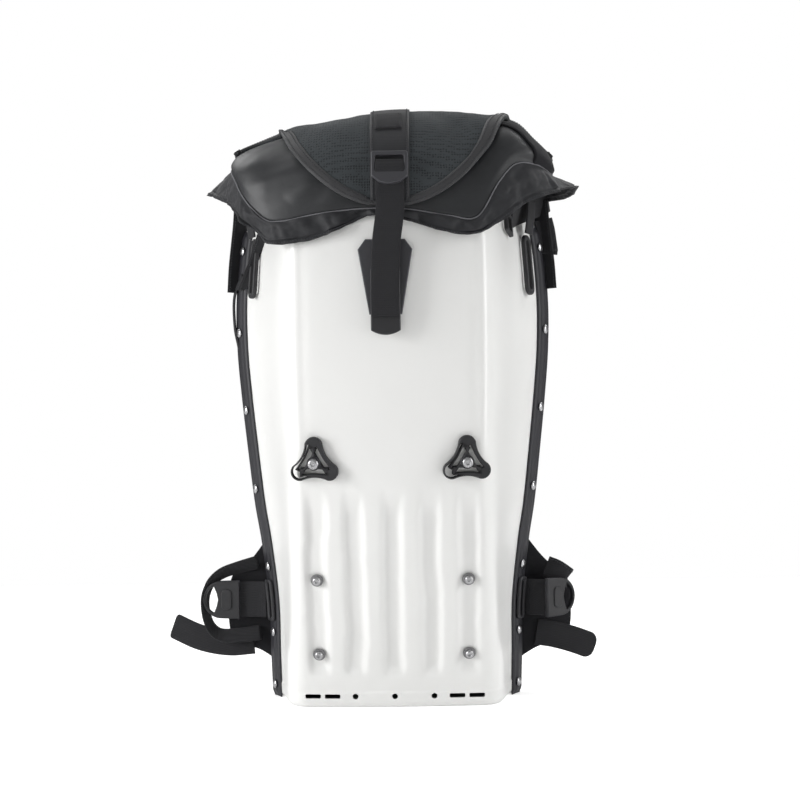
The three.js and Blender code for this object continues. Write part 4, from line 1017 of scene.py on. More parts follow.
def build_straps():
    s = sizes()
    for side, hand in SIDES:
        root = PANEL_BACK + LOOSE_SEAT + SEAT
        route = []
        for row in STRAP_ROUTE:
            x = hand * row["across"] * s.shell_width / 2
            route.append((x, root + row["out"] * s.strap_reach, row["up"] * s.shell_height))
        count = 70
        path = smooth_route(route, count)
        run = np.linspace(0, 1, count)
        width = s.strap_width * mix(1, 0.62, smooth(run, 0.55, 1)) * 0.97
        ends = np.minimum(1, np.minimum(run, 1 - run) / 0.03) ** 0.5
        section_of = []
        for w, e in zip(width, ends):
            turn = np.arange(32) * 2 * math.pi / 32
            cos, sin = np.cos(turn), np.sin(turn)
            across = np.sign(cos) * np.abs(cos) ** 0.5 * w / 2 * mix(0.9, 1, e)
            rise = np.sign(sin) * np.abs(sin) ** 0.8 * s.strap_thick / 2 * mix(0.6, 1, e)
            section_of.append(np.stack([across, rise], axis=1))
        body = sweep(path, [1, 0, hand * STRAP_SKEW], np.array(section_of))
        obj = piece(f"padded_strap_{side}", *body, padding_finish(), [f"shoulder_strap_{side}"], "padding")
        end = np.array(route[-1])
        foot = np.array(
            [
                hand * (float(half_width(0.3 * s.shell_height)) - TRIM_LIP - s.closure_width * 0.8),
                PANEL_BACK + SEAT + s.webbing_thick * 0.6,
                0.3 * s.shell_height + s.closure_width * 0.4,
            ]
        )
        away = unit(path[-1] - path[-2])
        start = end + away * LOOSE_SEAT
        webbing(
            f"strap_tail_{side}",
            [start, start + away * s.strap_thick, mix(start, foot, 0.6), foot],
            s.closure_width,
            lambda t, h=hand: np.stack([1 + 0 * t, 0 * t, h * STRAP_SKEW * (1 - t)], axis=1),
            [f"strap_webbing_{side}"],
        )


# Surface of the lid

PIPE = reading(LID_EDGE, "turn", "pipe", 360)
HEM = reading(LID_EDGE, "turn", "hem", 360)
FLARE = reading(LID_EDGE, "turn", "flare", 360)
CROWN = reading(LID_CROWN, "across", "rise")


def lid_front():
    s = sizes()
    return -(float(depth(LID_SEAT * s.shell_height)) + s.lid_overhang)


def lid_middle():
    return lid_front() + sizes().lid_depth / 2


def pipe_height(turn):
    s = sizes()
    return s.shell_height + s.lid_drop * PIPE(np.degrees(turn))


def hem_height(turn):
    s = sizes()
    return s.shell_height + s.lid_drop * HEM(np.degrees(turn))


def crown_height(across):
    s = sizes()
    return s.shell_height + s.lid_rise * CROWN(across)


def plan_reach(turn, grow=1.0):
    power = LID_PLAN_POWER
    return grow / (np.abs(np.cos(turn)) ** power + np.abs(np.sin(turn)) ** power) ** (1 / power)


def lid_surface(turn, share, inset=0.0):
    s = sizes()
    angle = share * math.pi / 2
    out = plan_reach(turn, np.sin(angle) ** (2 / LID_DOME_POWER))
    across = out * np.cos(turn)
    x = LID_SHIFT + across * (s.lid_width / 2 - inset)
    y = lid_middle() + out * np.sin(turn) * (s.lid_depth / 2 - inset)
    pipe = pipe_height(turn)
    z = pipe + (crown_height(across) - inset - pipe) * np.cos(angle) ** (2 / LID_DOME_POWER)
    return np.stack([x, y, z], axis=-1)


def dome_height(x, y):
    s = sizes()
    power = LID_PLAN_POWER
    across = (x - LID_SHIFT) / (s.lid_width / 2)
    along = (y - lid_middle()) / (s.lid_depth / 2)
    out = np.minimum(1, (np.abs(across) ** power + np.abs(along) ** power) ** (1 / power))
    rise = (1 - out**LID_DOME_POWER) ** (1 / LID_DOME_POWER)
    pipe = pipe_height(np.arctan2(along, across))
    return pipe + (crown_height(across) - pipe) * rise


def folds(points, table):
    """How far the cloth stands out at points, by the folds of a table."""
    s = sizes()
    x, z = points[..., 0], points[..., 2]
    total = 0 * x
    for row in table:
        start = np.array([LID_SHIFT + row["x0"] * s.lid_width / 2, s.shell_height + row["up0"] * s.lid_rise])
        end = np.array([LID_SHIFT + row["x1"] * s.lid_width / 2, s.shell_height + row["up1"] * s.lid_rise])
        run = end - start
        t = np.clip(((x - start[0]) * run[0] + (z - start[1]) * run[1]) / (run @ run), 0, 1)
        away = np.hypot(x - start[0] - t * run[0], z - start[1] - t * run[1])
        taper = np.sin(np.clip(t, 0.04, 0.96) * math.pi) ** 0.5
        total = total + row["high"] * 1e-3 * taper * np.exp(-((away / (row["wide"] * 1e-3)) ** 2))
    return total * (points[..., 1] < lid_middle() + 0.02)


def hood_lift(outer, b):
    """How far the hood's cloth stands out, at points and their shares of the way down."""
    low = smooth(b, 0.3, 0.9)
    soft = 0.0014 * crumple(outer, 14, 3.0, 3) + 0.0022 * (creased(outer * [1, 1, 0.7], 11, 7.3, 2) - 0.4)
    lift = folds(outer, HOOD_FOLDS) + low * soft
    lift = lift * mix(0.15, 1, smooth(1 - b, 0.0, 0.07)) * smooth(b, 0.02, 0.2)
    return np.clip(lift, -0.0035, hood_room(outer))


def build_rear_panel():
    """Dark padded panel over the hood's right rear corner."""
    a, b = np.meshgrid(np.radians(np.linspace(321, 425, 120)), np.linspace(0.34, 1, 80))
    a = a - np.radians(10) * (1 - b)
    surface = lid_surface(a, b)
    out = normals(surface)
    out = np.where(out[..., 2:] + 0 * out < 0, -out, out)
    rim = smooth(np.minimum(b - 0.34, 1 - b), 0, 0.04) * smooth((a - a.min()) / (a.max() - a.min()), 0, 0.06)
    lift = hood_lift(surface, b)
    outer = surface + out * (lift + 0.0008 + 0.0018 * rim + 0.0006 * crumple(surface, 40, 4.0))[..., None]
    inner = surface + out * (lift - 0.0004)[..., None]
    piece("hood_rear_panel", *skin(outer, inner), padding_finish(), slot="padding")


def build_hood():
    s = sizes()
    turn = np.linspace(0, 2 * math.pi, 380, endpoint=False)
    share = np.concatenate([[0.0, 0.03], np.linspace(0.06, 1, 110)])
    a, b = np.meshgrid(turn, share)
    outer = lid_surface(a, b)
    inner = lid_surface(a, b, s.lid_cloth)
    out = normals(outer)
    out = np.where(out[..., 2:] + 0 * out < 0, -out, out)
    out[:2] = [0, 0, 1]
    lift = hood_lift(outer, b)[..., None]
    points, faces = skin(outer + out * lift, inner + out * lift, True)
    piece("hood", points, faces, hood_finish(), ["lid_hood"], "coated_cloth")
    edge = lid_surface(turn, 1 + 0 * turn)
    away = np.stack([np.cos(turn), np.sin(turn), 0 * turn], axis=-1)
    build_rear_panel()
    cord = edge + away * 0.0006
    body = sweep(cord, [0, 0, 1], circle_profile(0.0006), True)
    piece("hood_piping", *body, piping_finish(), slot="coated_cloth")


def hood_room(points):
    """How far the hood may swell: little where the flap lies on it."""
    s = sizes()
    x = points[..., 0] - LID_SHIFT
    edge = flap_edge_height(x)
    under = smooth(points[..., 2], edge - 0.012, edge - 0.004)
    return mix(0.004, s.flap_lift - 0.0015, under)


def flap_edge_height(x):
    s = sizes()
    return s.shell_height - s.flap_tip + s.flap_climb * (np.abs(x) / s.flap_side) ** 2.2


def skirt_surface(turn, share, inset=0.0):
    s = sizes()
    top = lid_surface(turn, 1 + 0 * turn, inset)
    flare = s.ear_reach * FLARE(np.degrees(turn)) * share**0.8
    gather = 0.0012 * np.sin(turn * 19) * share
    z = mix(top[..., 2] - SEAT, hem_height(turn), share)
    away = np.stack([np.cos(turn), np.sin(turn), 0 * turn], axis=-1)
    points = np.stack([top[..., 0], top[..., 1], z], axis=-1)
    return points + away * (flare + gather)[..., None]


def skirt_lift(a, b):
    """How far the gathered skirt stands out, by turn and share of its drop."""
    at = skirt_surface(a, b)
    ripple = 0.0016 * waves(a * 13 + 0.8 * b, 1.0) + 0.0008 * waves(a * 31 - b * 2, 3.0)
    rough = 0.0026 * crumple(at, 30, 1.7) + 0.003 * (creased(at * [1, 1, 0.6], 22, 5.1) - 0.4)
    pinch = 1 - 0.6 * np.exp(-(((b - 0.84) / 0.05) ** 2))
    return smooth(b, 0.02, 0.3) * pinch * np.clip(ripple + rough, -0.003, 0.006) + folds(at, SKIRT_FOLDS)


def build_skirt():
    s = sizes()
    turn = np.linspace(0, 2 * math.pi, 620, endpoint=False)
    share = np.linspace(0, 1, 46)
    a, b = np.meshgrid(turn, share)
    hem_band = -0.0007 * np.exp(-(((b - 0.84) / 0.025) ** 2)) + 0.0005 * smooth(b, 0.86, 0.9)
    lift = skirt_lift(a, b) + hem_band
    away = np.stack([np.cos(a), np.sin(a), 0 * a], axis=-1)
    outer = skirt_surface(a, b) + away * lift[..., None]
    inner = skirt_surface(a, b, s.lid_cloth) + away * lift[..., None]
    wander = 0.0016 * crumple(outer, 26, 9.0) * smooth(b, 0.5, 1)
    outer[..., 2] += wander
    inner[..., 2] += wander
    piece("skirt", *skin(outer, inner, True), skirt_finish(), ["lid_skirt"], "skirt_cloth")
    hem = 0.92 + 0 * turn
    rise = np.stack([np.cos(turn), np.sin(turn), 0 * turn], axis=-1)
    path = skirt_surface(turn, hem) + rise * (skirt_lift(turn, hem) + 0.0009)[:, None]
    path[:, 2] += 0.0016 * crumple(path, 26, 9.0) * 0.93
    stitches("hem_stitching", np.vstack([path, path[:1]]), np.vstack([rise, rise[:1]]))


def on_dome(x, angle):
    s = sizes()
    share = np.clip(np.abs(x) / (s.lid_width / 2), 0, 0.999)
    widest = (1 - share**LID_PLAN_POWER) ** (1 / LID_PLAN_POWER)
    swing = np.sign(angle) * np.abs(np.sin(angle)) ** (2 / LID_DOME_POWER)
    y = lid_middle() - s.lid_depth / 2 * widest * swing
    return np.stack([LID_SHIFT + x + 0 * y, y, dome_height(LID_SHIFT + x, y)], axis=-1)


def over_dome(x, angle, lift):
    """A point lifted off the dome along its normal."""
    x = np.asarray(x, float) + 0 * np.asarray(angle)
    angle = np.asarray(angle, float) + 0 * x
    across = on_dome(x + 0.0004, angle) - on_dome(x - 0.0004, angle)
    along = on_dome(x, angle + 0.02) - on_dome(x, angle - 0.02)
    normal = unit(np.cross(along, across))
    normal = np.where(normal[..., 2:] < -0.2, -normal, normal)
    return on_dome(x, angle) + normal * np.asarray(lift + 0 * x)[..., None]


def flap_angle(x):
    """Angle on the dome where the flap's front edge runs."""
    s = sizes()
    x = np.asarray(x, float)
    height = flap_edge_height(x)
    low, high = np.zeros_like(x), np.full_like(x, math.pi / 2)
    crown = on_dome(x, 0 * x)[..., 2]
    for _ in range(24):
        middle = (low + high) / 2
        above = on_dome(x, middle)[..., 2] > height
        low, high = np.where(above, middle, low), np.where(above, high, middle)
    edge = np.where(crown <= height, 0, np.minimum(low, math.radians(89.4)))
    return mix(edge, FLAP_CORNER, smooth(np.abs(x), s.flap_side * 0.92, s.flap_side * 1.34))


def flap_surface(u, v, lift):
    s = sizes()
    x = np.asarray(u, float) * s.flap_width / 2
    return over_dome(x, mix(FLAP_BACK, flap_angle(x), v), lift)


def flap_swell(u, v):
    """Soft humps of the flap, flat where the closure's strip is sewn on."""
    s = sizes()
    at = np.stack([u * s.flap_width / 2, v * 0.15, 0 * u], axis=-1)
    soft = 0.0022 * crumple(at, 13, 6.0, 3) + 0.0012 * (creased(at, 20, 2.0) - 0.4)
    beside = smooth(np.abs(u) * s.flap_width / 2, STRIP_WIDTH / 2, STRIP_WIDTH)
    return beside * np.clip(soft, -0.0006, 0.003)


def build_flap():
    s = sizes()
    half = np.concatenate([np.linspace(0, 0.5, 60)[:-1], np.linspace(0.5, 1, 70)])
    u = np.concatenate([-half[::-1], half[1:]])
    v = np.concatenate([np.linspace(0, 0.7, 70)[:-1], np.linspace(0.7, 1, 60)])
    a, b = np.meshgrid(u, v)
    lift = s.flap_lift + flap_swell(a, b)
    outer = flap_surface(a, b, lift + s.flap_thick)
    inner = flap_surface(a, b, lift)
    piece("mesh_flap", *skin(outer, inner), mesh_finish(), ["lid_flap"], "flap_mesh")
    build_binding()


def flap_edge_grid(shares, count):
    """Places on the flap along its edge, in by shares of the binding's width."""
    s = sizes()
    across, side = np.linspace(-1, 1, count), np.linspace(1, 0, count // 2)
    u = np.concatenate([across, np.ones(count // 2 - 1), across[::-1][1:], -np.ones(count // 2 - 2)])
    v = np.concatenate([np.ones(count), side[1:], np.zeros(count - 1), side[::-1][1:-1]])
    step = 0.004

    def flat(a, b):
        return flap_surface(a, b, s.flap_lift)

    def even(run):
        return sum(np.roll(run, k) for k in range(-4, 5)) / 9

    edge = flat(u, v)
    by_u = (flat(u + step, v) - flat(u - step, v)) / (2 * step)
    by_v = (flat(u, v + step) - flat(u, v - step)) / (2 * step)
    along = unit(np.roll(edge, -1, 0) - np.roll(edge, 1, 0))
    inward = unit(np.cross(unit(np.cross(by_u, by_v)), along))
    middle = by_u * -u[:, None] + by_v * (0.5 - v)[:, None]
    inward = inward * np.sign(np.sum(inward * middle, axis=1))[:, None]
    uu, uv, vv = (np.sum(a * b, axis=1) for a, b in ((by_u, by_u), (by_u, by_v), (by_v, by_v)))
    du, dv = np.sum(by_u * inward, axis=1), np.sum(by_v * inward, axis=1)
    det = uu * vv - uv * uv
    run_u = even(np.clip(s.binding * (vv * du - uv * dv) / det, -0.08, 0.08))
    run_v = even(np.clip(s.binding * (uu * dv - uv * du) / det, -0.2, 0.2))
    share = np.array(shares, float)[:, None]
    return np.stack([np.clip(u + share * run_u, -1, 1), np.clip(v + share * run_v, 0, 1)], axis=-1)


def build_binding():
    """Tape folded over the flap's edge, with two rows of stitches."""
    s = sizes()
    grid = flap_edge_grid([1, 0.85, 0.7, 0.5, 0.3, 0.15, 0], 260)
    u, v = grid[..., 0], grid[..., 1]
    crown = np.array([0.0002, 0.0009, 0.0012, 0.0012, 0.0012, 0.0011, 0.0005])[:, None] + 0 * u
    lift = s.flap_lift + flap_swell(u, v)
    outer = flap_surface(u, v, lift + s.flap_thick + 0.0004 + crown)
    inner = flap_surface(u, v, lift + s.flap_thick * 0.4)
    piece("flap_binding", *skin(outer, inner, True), binding_finish(), slot="skirt_cloth")
    for name, share in (("inner", 0.78), ("outer", 0.3)):
        line = flap_edge_grid([share], 300)[0]
        lift = s.flap_lift + s.flap_thick + flap_swell(line[:, 0], line[:, 1])
        path = flap_surface(line[:, 0], line[:, 1], lift + 0.0017)
        above = flap_surface(line[:, 0], line[:, 1], lift + 0.0027)
        stitches(f"binding_stitching_{name}", path, above - path)


# Closure down the front


def angle_at_height(z):
    low, high = 0.0, math.pi / 2
    for _ in range(24):
        middle = (low + high) / 2
        if float(on_dome(np.array(0.0), np.array(middle))[2]) > z:
            low = middle
        else:
            high = middle
    return low


def over_flap():
    s = sizes()
    return s.flap_lift + s.flap_thick + LOOSE_SEAT


def build_closure():
    end = float(flap_angle(np.array(0.0))) - 0.02
    angle, across = np.meshgrid(np.linspace(-0.35, end, 60), np.linspace(-1, 1, 16), indexing="ij")
    x = across * STRIP_WIDTH / 2
    edge = 0.0004 * (np.abs(across) > 0.99)
    outer = over_dome(x, angle, over_flap() + STRIP_THICK - edge)
    inner = over_dome(x, angle, over_flap() + 0 * x)
    piece("closure_strip", *skin(outer, inner), skirt_finish(), ["flap_strip"], "skirt_cloth")
    run = np.linspace(-0.3, end, 60)
    for side, hand in SIDES:
        x = hand * 0.86 * STRIP_WIDTH / 2 + 0 * run
        path = over_dome(x, run, over_flap() + STRIP_THICK + 0.0002)
        above = over_dome(x, run, over_flap() + STRIP_THICK + 0.002)
        stitches(f"strip_stitching_{side}", path, above - path)
    build_patch()
    build_lock()
    build_latch()


def build_patch():
    """Small square of webbing sewn down near the top of the strip."""
    over = over_flap() + STRIP_THICK
    top, low = (angle_at_height(sizes().shell_height + up) for up in PATCH_HEIGHTS)
    across = np.linspace(-PATCH_HALF, PATCH_HALF, 14) + CLOSURE_X / 2
    angle, x = np.meshgrid(np.linspace(top, low, 14), across, indexing="ij")
    outer = over_dome(x, angle, over + 0.0016)
    inner = over_dome(x, angle, over + 0.0001)
    piece("strip_patch", *skin(outer, inner), webbing_finish(), slot="webbing")
    x, up = np.array(rounded(1.7, 1.7, 0.2)).T
    at = over_dome(PATCH_HALF * x + CLOSURE_X / 2, mix(top, low, 0.5 + up / 2 * 0.98), over + 0.0018)
    rise = over_dome(PATCH_HALF * x, mix(top, low, 0.5 + up / 2), over + 0.0028) - at
    stitches("patch_stitching", at, rise)


def build_lock():
    s = sizes()
    over_strip = over_flap() + STRIP_THICK + SEAT
    angle = angle_at_height(s.shell_height + LOCK_RISE)
    zero = np.array(0.0)
    at = over_dome(zero, np.array(angle), over_strip + 0.0003)
    normal = unit(over_dome(zero, np.array(angle), over_strip + 0.0013) - at)
    opening = rounded(LOCK_WIDTH - 2 * LOCK_BAR, LOCK_TALL * 0.52, 0.001, 0, LOCK_TALL * 0.1)
    low_edge, wide = -LOCK_TALL / 2, LOCK_WIDTH / 2
    outline = [
        *arc(wide - 0.002, LOCK_TALL / 2 - 0.002, 0.002, 0, math.pi / 2, 6),
        *arc(-wide + 0.002, LOCK_TALL / 2 - 0.002, 0.002, math.pi / 2, math.pi, 6),
        (-wide, low_edge * 0.62),
        (-wide * 0.86, low_edge * 0.74),
        (-wide * 0.62, low_edge * 0.97),
        *bend((-wide * 0.62, low_edge * 0.97), (0, low_edge * 1.3), (wide * 0.62, low_edge * 0.97), 10),
        (wide * 0.62, low_edge * 0.97),
        (wide * 0.86, low_edge * 0.74),
        (wide, low_edge * 0.62),
    ]
    rim = plate(outline, [opening], LOCK_THICK, 0.0011, 3)
    bar = plate(rounded(LOCK_WIDTH - 2 * LOCK_BAR + 0.001, 0.004, 0.0018), [], 0.003, 0.0012)
    bar = spun(bar, 0, (0, -0.001, 0.0006))
    body = joined([seated(part, at, normal) for part in (rim, bar)])
    piece("ladder_frame", *body, satin_finish(), ["ladder_lock"], "black_plastic")
    low = angle_at_height(s.shell_height + LOCK_RISE - LOCK_TALL / 2 - 0.002)
    start = over_dome(zero, np.array(low), over_strip + s.webbing_thick * 0.4)
    hem = lid_front() - (s.ear_reach * 0.1 + s.flap_thick + 0.005)
    latch_face = -(s.shell_depth + SEAT + LATCH_THICK)
    hook_face = latch_face - SEAT - HOOK_THICK
    top = s.shell_height
    route = [
        at + facing(normal) @ np.array([0, 0.006, 0.0034]),
        at + facing(normal) @ np.array([0, -0.001, 0.0052]),
        at + facing(normal) @ np.array([0, -0.008, 0.0030]),
        start,
        [start[0], min(start[1] - 0.003, hem), top - s.flap_tip - 0.004],
        [mix(start[0], CLOSURE_X, 0.7), min(hem, hook_face - 0.003), top - s.lid_drop],
        [CLOSURE_X, hook_face - s.webbing_thick * 1.5, top - LATCH_DROP - LATCH_TALL * 0.6],
        [CLOSURE_X, hook_face - s.webbing_thick, top - CLOSURE_END],
    ]
    webbing("closure_strap", route, s.closure_width, [1, 0, 0], ["closure_webbing"], 90)


def build_latch():
    s = sizes()
    half, top = LATCH_WIDTH / 2, LATCH_TALL / 2
    outline = [
        (-half * 0.6, -top),
        (half * 0.6, -top),
        (half, top - LATCH_SHOULDER),
        (half * 0.72, top),
        (-half * 0.72, top),
        (-half, top - LATCH_SHOULDER),
    ]
    at = [CLOSURE_X, -(s.shell_depth + SEAT), s.shell_height - LATCH_DROP - top]
    body = seated(plate(outline, [], LATCH_THICK, 0.001), at, [0, -1, 0])
    crisp(piece("latch_base", *body, satin_finish(), ["latch_plate"], "black_plastic"))
    half, foot = HOOK_WIDTH / 2, HOOK_TIP
    tip = bend((-half, foot), (0, -foot), (half, foot), 12)
    outline = [(-half, HOOK_TALL), (-half, foot), *tip, (half, foot), (half, HOOK_TALL)]
    at = [CLOSURE_X, -(s.shell_depth + SEAT + LATCH_THICK) - SEAT, s.shell_height - HOOK_END]
    body = seated(plate(outline, [], HOOK_THICK, 0.0012), at, [0, -1, 0])
    crisp(piece("latch_tongue", *body, plastic_finish(), ["latch_hook"], "black_plastic"))


# Knobs and screws


def front_seat(x, z, lift, reach=0.0):
    """A point on the shell's front and the way that it faces."""
    step = 0.001

    def front(a, h):
        return float(front_y(np.array(a), np.array(h)))

    def plain(a, h):
        return np.array([a, front(a, h) - float(groove(np.array(a), np.array(h))), h])

    across = plain(x + step, z) - plain(x - step, z)
    up = plain(x, z + step) - plain(x, z - step)
    normal = forward(unit(np.cross(across, up)))
    y = min(front(x - reach, z), front(x + reach, z))
    return np.array([x, y, z]) + normal * lift, normal


def knob_outline():
    """Outline of a knob with its three slots."""
    s = sizes()
    corner, waist = 0.008, 0.0055
    sweep_by = math.radians(72)
    arms = [math.pi / 2 + k * 2 * math.pi / 3 for k in range(3)]
    outline, holes = [], []
    for k, angle in enumerate(arms):
        x, y = math.cos(angle) * s.knob_arm, math.sin(angle) * s.knob_arm
        turn = arc(x, y, corner, angle - sweep_by, angle + sweep_by, 14)
        after = arms[(k + 1) % 3]
        middle = angle + math.pi / 3
        near = s.knob_arm / 2 + corner - waist
        far = (
            math.cos(after) * s.knob_arm + math.cos(after - sweep_by) * corner,
            math.sin(after) * s.knob_arm + math.sin(after - sweep_by) * corner,
        )
        outline += turn + bend(turn[-1], (math.cos(middle) * near, math.sin(middle) * near), far, 12)

        def spot(reach, slide, m=middle):
            return (math.cos(m) * reach - math.sin(m) * slide, math.sin(m) * reach + math.cos(m) * slide)

        low, high, long = near - 0.0052, near - 0.0012, s.knob_arm * 0.74
        a, b = spot(high + 0.0012, -long), spot(high + 0.0012, long)
        c, d = spot(low + 0.0006, long * 0.98), spot(low + 0.0006, -long * 0.98)
        holes.append([a, *bend(a, spot(high - 0.0008, 0), b, 10), b, c, *bend(c, spot(low, 0), d, 10), d])
    return outline, holes


def screw(diameter, tall):
    """A button head with a hexagonal socket."""
    radius, count = diameter / 2, 36
    turn = np.arange(count) * 2 * math.pi / count
    hexagon = math.cos(math.pi / 6) / np.cos(np.mod(turn, math.pi / 3) - math.pi / 6)
    rings = [
        (1.0, 0, 0), (1.0, 0, 0.35), (0.97, 0, 0.55), (0.88, 0, 0.8), (0.72, 0, 0.96), (0.56, 0, 1.0),
        (0.44, 1, 1.0), (0.41, 1, 0.96), (0.41, 1, 0.4), (0.0, 1, 0.34),
    ]
    points = []
    for out, is_hex, up in rings:
        reach = radius * out * (hexagon if is_hex else 1)
        height = np.full(count, tall * up)
        points.append(np.stack([reach * np.cos(turn), reach * np.sin(turn), height], axis=1))
    faces = [list(f) for f in grid_faces(len(rings), count, 0, True)]
    faces.append(list(range(count))[::-1])
    return np.vstack(points), faces


def build_knobs():
    s = sizes()
    outline, holes = knob_outline()
    for side, hand in SIDES:
        at, normal = front_seat(hand * s.knob_apart / 2, KNOB_HEIGHT * s.shell_height, SEAT * 1.5)
        rib = plate(rounded(0.0016, 0.0075, 0.0007), [], 0.0012, 0.0004)
        ribs = [spun(rib, k * 2 * math.pi / 3, (0, 0.0098, 0.0052)) for k in range(3)]
        parts = [plate(outline, holes, 0.0055, 0.0012, 3), turned(KNOB_HUB, 32), *ribs]
        body = joined([seated(part, at, normal) for part in parts])
        crisp(piece(f"knob_body_{side}", *body, plastic_finish(), [f"knob_{side}"], "black_plastic"))
        head = seated(screw(0.010, 0.0035), at + normal * 0.0071, normal)
        crisp(piece(f"knob_bolt_{side}", *head, steel_finish(), [f"knob_screw_{side}"], "steel"), 30)


def build_screws():
    s = sizes()
    for row, up in SCREW_ROWS:
        for side, hand in SIDES:
            place = f"{row}_{side}"
            x, z = hand * 2 * s.groove_pitch, up * s.shell_height
            at, normal = front_seat(x, z, SEAT, WASHER[1][0])
            ring = seated(turned(WASHER, 32), at, normal)
            crisp(piece(f"washer_ring_{place}", *ring, washer_finish(), [f"washer_{place}"], "steel"))
            head = seated(screw(0.0078, 0.0032), at + normal * 0.0018, normal)
            crisp(piece(f"base_bolt_{place}", *head, steel_finish(), [f"base_screw_{place}"], "steel"), 30)


# Hip belt


def belt_height():
    return BELT_HEIGHT * sizes().shell_height


def wing_front(x):
    s = sizes()
    root = float(half_width(belt_height()))
    return PANEL_BACK + SEAT + s.trim_thick + SEAT + WING_SWEEP * np.maximum(0, (x - root) / 0.066) ** 2


def build_wings():
    s = sizes()
    up = belt_height() / s.shell_height
    for side, hand in SIDES:
        tip = float(half_width(belt_height())) + WING_REACH[side]
        u, v = np.meshgrid(np.linspace(0, 1, 50), np.linspace(0, 1, 40))
        upper = mix(0.345, up + WING_HIGH[side], smooth(u, 0, 1)) * s.shell_height
        lower = mix(0.05, up - 0.1, smooth(u, 0, 0.75)) * s.shell_height
        z = mix(lower, upper, v)
        x = mix(half_width(z) - TRIM_LIP - 0.008, tip - 0.008 * np.abs(2 * v - 1) ** 3, u)
        edge = 1 - 0.6 * (2 * v - 1) ** 4
        thick = 0.012 * np.where(u < 0.12, 1, edge) * mix(1, 0.5, smooth(u, 0.9, 1))
        front = np.stack([hand * x, wing_front(x) + 0 * x, z], axis=-1)
        back = np.stack([hand * x, wing_front(x) + thick, z], axis=-1)
        body = skin(front, back)
        obj = piece(f"padded_wing_{side}", *body, padding_finish(), [f"hip_wing_{side}"], "padding")


def build_belt():
    s = sizes()
    z = belt_height()
    for side, hand in SIDES:
        turns = np.linspace(0, 2 * math.pi, 64, endpoint=False)
        shares = np.array([0, 0, 0.5, 1, 1])
        a, b = np.meshgrid(turns, shares)
        corner = 6
        around = 1 / (np.abs(np.cos(a)) ** corner + np.abs(np.sin(a)) ** corner) ** (1 / corner)
        half = 0.006 - 0.0025 * (1 - b)
        tall = s.belt_width / 2 + 0.0025 * b
        u = 0.5 + around * np.cos(a) * half / s.trim_width
        h = z + around * np.sin(a) * tall
        rise = np.array([0.6, 1, 1.05, 1, 0.6])[:, None] + 0 * a
        outer = trim_surface(hand, u, h, s.trim_thick + LOOSE_SEAT + 0.0025 * rise)
        inner = trim_surface(hand, u, h, s.trim_thick + LOOSE_SEAT + 0 * a)
        body = skin(outer, inner, True)
        piece(f"slot_frame_{side}", *body, plastic_finish(), [f"belt_frame_{side}"], "black_plastic")
        edge = float(half_width(z)) + s.trim_thick + 0.006
        face = PANEL_BACK + SEAT - 0.003
        route = [
            (hand * (edge - 0.0024), face - 0.0044, z),
            (hand * (edge + BELT_RUN[side] / 3), face - 0.001 - BELT_NEAR[side] / 2, z),
            (hand * (edge + BELT_RUN[side] + 0.004), face + 0.0005 - BELT_NEAR[side], z),
        ]
        webbing(f"belt_strap_{side}", route, s.belt_width, [0, 0, 1], [f"belt_webbing_{side}"])
        build_buckle(side, hand, edge, face, z)
        tail = []
        for row in BELT_TAIL:
            x = edge + row["out"] * TAIL_REACH[side]
            y = float(wing_front(x)) - SEAT - s.webbing_thick * 0.65
            tail.append((hand * x, y, z + row[side] * TAIL_REACH[side]))
        nodes = [f"belt_tail_{side}"]
        webbing(f"loose_tail_{side}", tail, 0.025, [0, 0, 1], nodes, corner=TAIL_CORNER[side])
    build_belt_loops(z)


def build_belt_loops(z):
    """Webbing looped round the left buckle, and the folded end at the right one."""
    route = [(row["x"], row["front"], z + row["up"]) for row in BELT_LOOP]
    path = smooth_route(route, 60)
    along = unit(np.gradient(path, axis=0))
    outward = unit(np.cross(along, [0, 1, 0]))
    places = np.linspace(0, 1, len(BELT_LOOP))
    turn = np.interp(np.linspace(0, 1, 60), places, [row["turn"] for row in BELT_LOOP])
    wide = unit(outward * turn[:, None] + np.array([0, 1, 0]) * np.sqrt(1 - turn[:, None] ** 2))
    points, faces = sweep(path, wide, strap_profile(0.015, sizes().webbing_thick))
    piece("belt_loop_left", points, faces, webbing_finish(), slot="webbing")
    fold = [(row["x"], row["front"], z + row["up"]) for row in BELT_FOLD]
    layered("folded_end_right", fold, 0.021, [0.55, 0, 0.83])


def build_buckle(side, hand, edge, face, z):
    s = sizes()
    long, thick = 0.036, 0.005
    shift = hand * long * 0.22
    tall = s.belt_width / 2 + 0.002
    bend_by = math.pi / 2 - 0.12
    bow = [(hand * x, y) for x, y in arc(-0.0005, 0, tall - 0.001, -bend_by, bend_by, 26)]
    ring = [*bow, (hand * -long / 2, tall - 0.0005), (hand * -long / 2, -tall + 0.0005)]
    hole = [(hand * x, y) for x, y in arc(0.0012, 0, tall - 0.0052, -1.15, 1.15, 20)]
    hole += [(hand * 0.0042, 0.006), (hand * 0.003, 0), (hand * 0.0042, -0.006)]
    lean = math.radians(BUCKLE_LEAN[side])
    reach = long / 2 * math.cos(lean)
    at = [hand * (edge + BELT_RUN[side] + 0.003 + reach), face + 0.001 - BUCKLE_BACK[side], z]
    normal = [hand * math.sin(lean), -math.cos(lean), 0]
    button = plate(rounded(0.010, 0.020, 0.0045, -shift * 0.7, 0, 8), [], 0.0016, 0.0006, 2)
    parts = [plate(ring, [hole], thick, 0.0012, 3), spun(button, 0, (0, 0, thick - 0.0004))]
    body = joined([seated(part, at, normal) for part in parts])
    crisp(piece(f"belt_clip_{side}", *body, plastic_finish(), [f"belt_buckle_{side}"], "black_plastic"))


# Upper side hooks and side straps


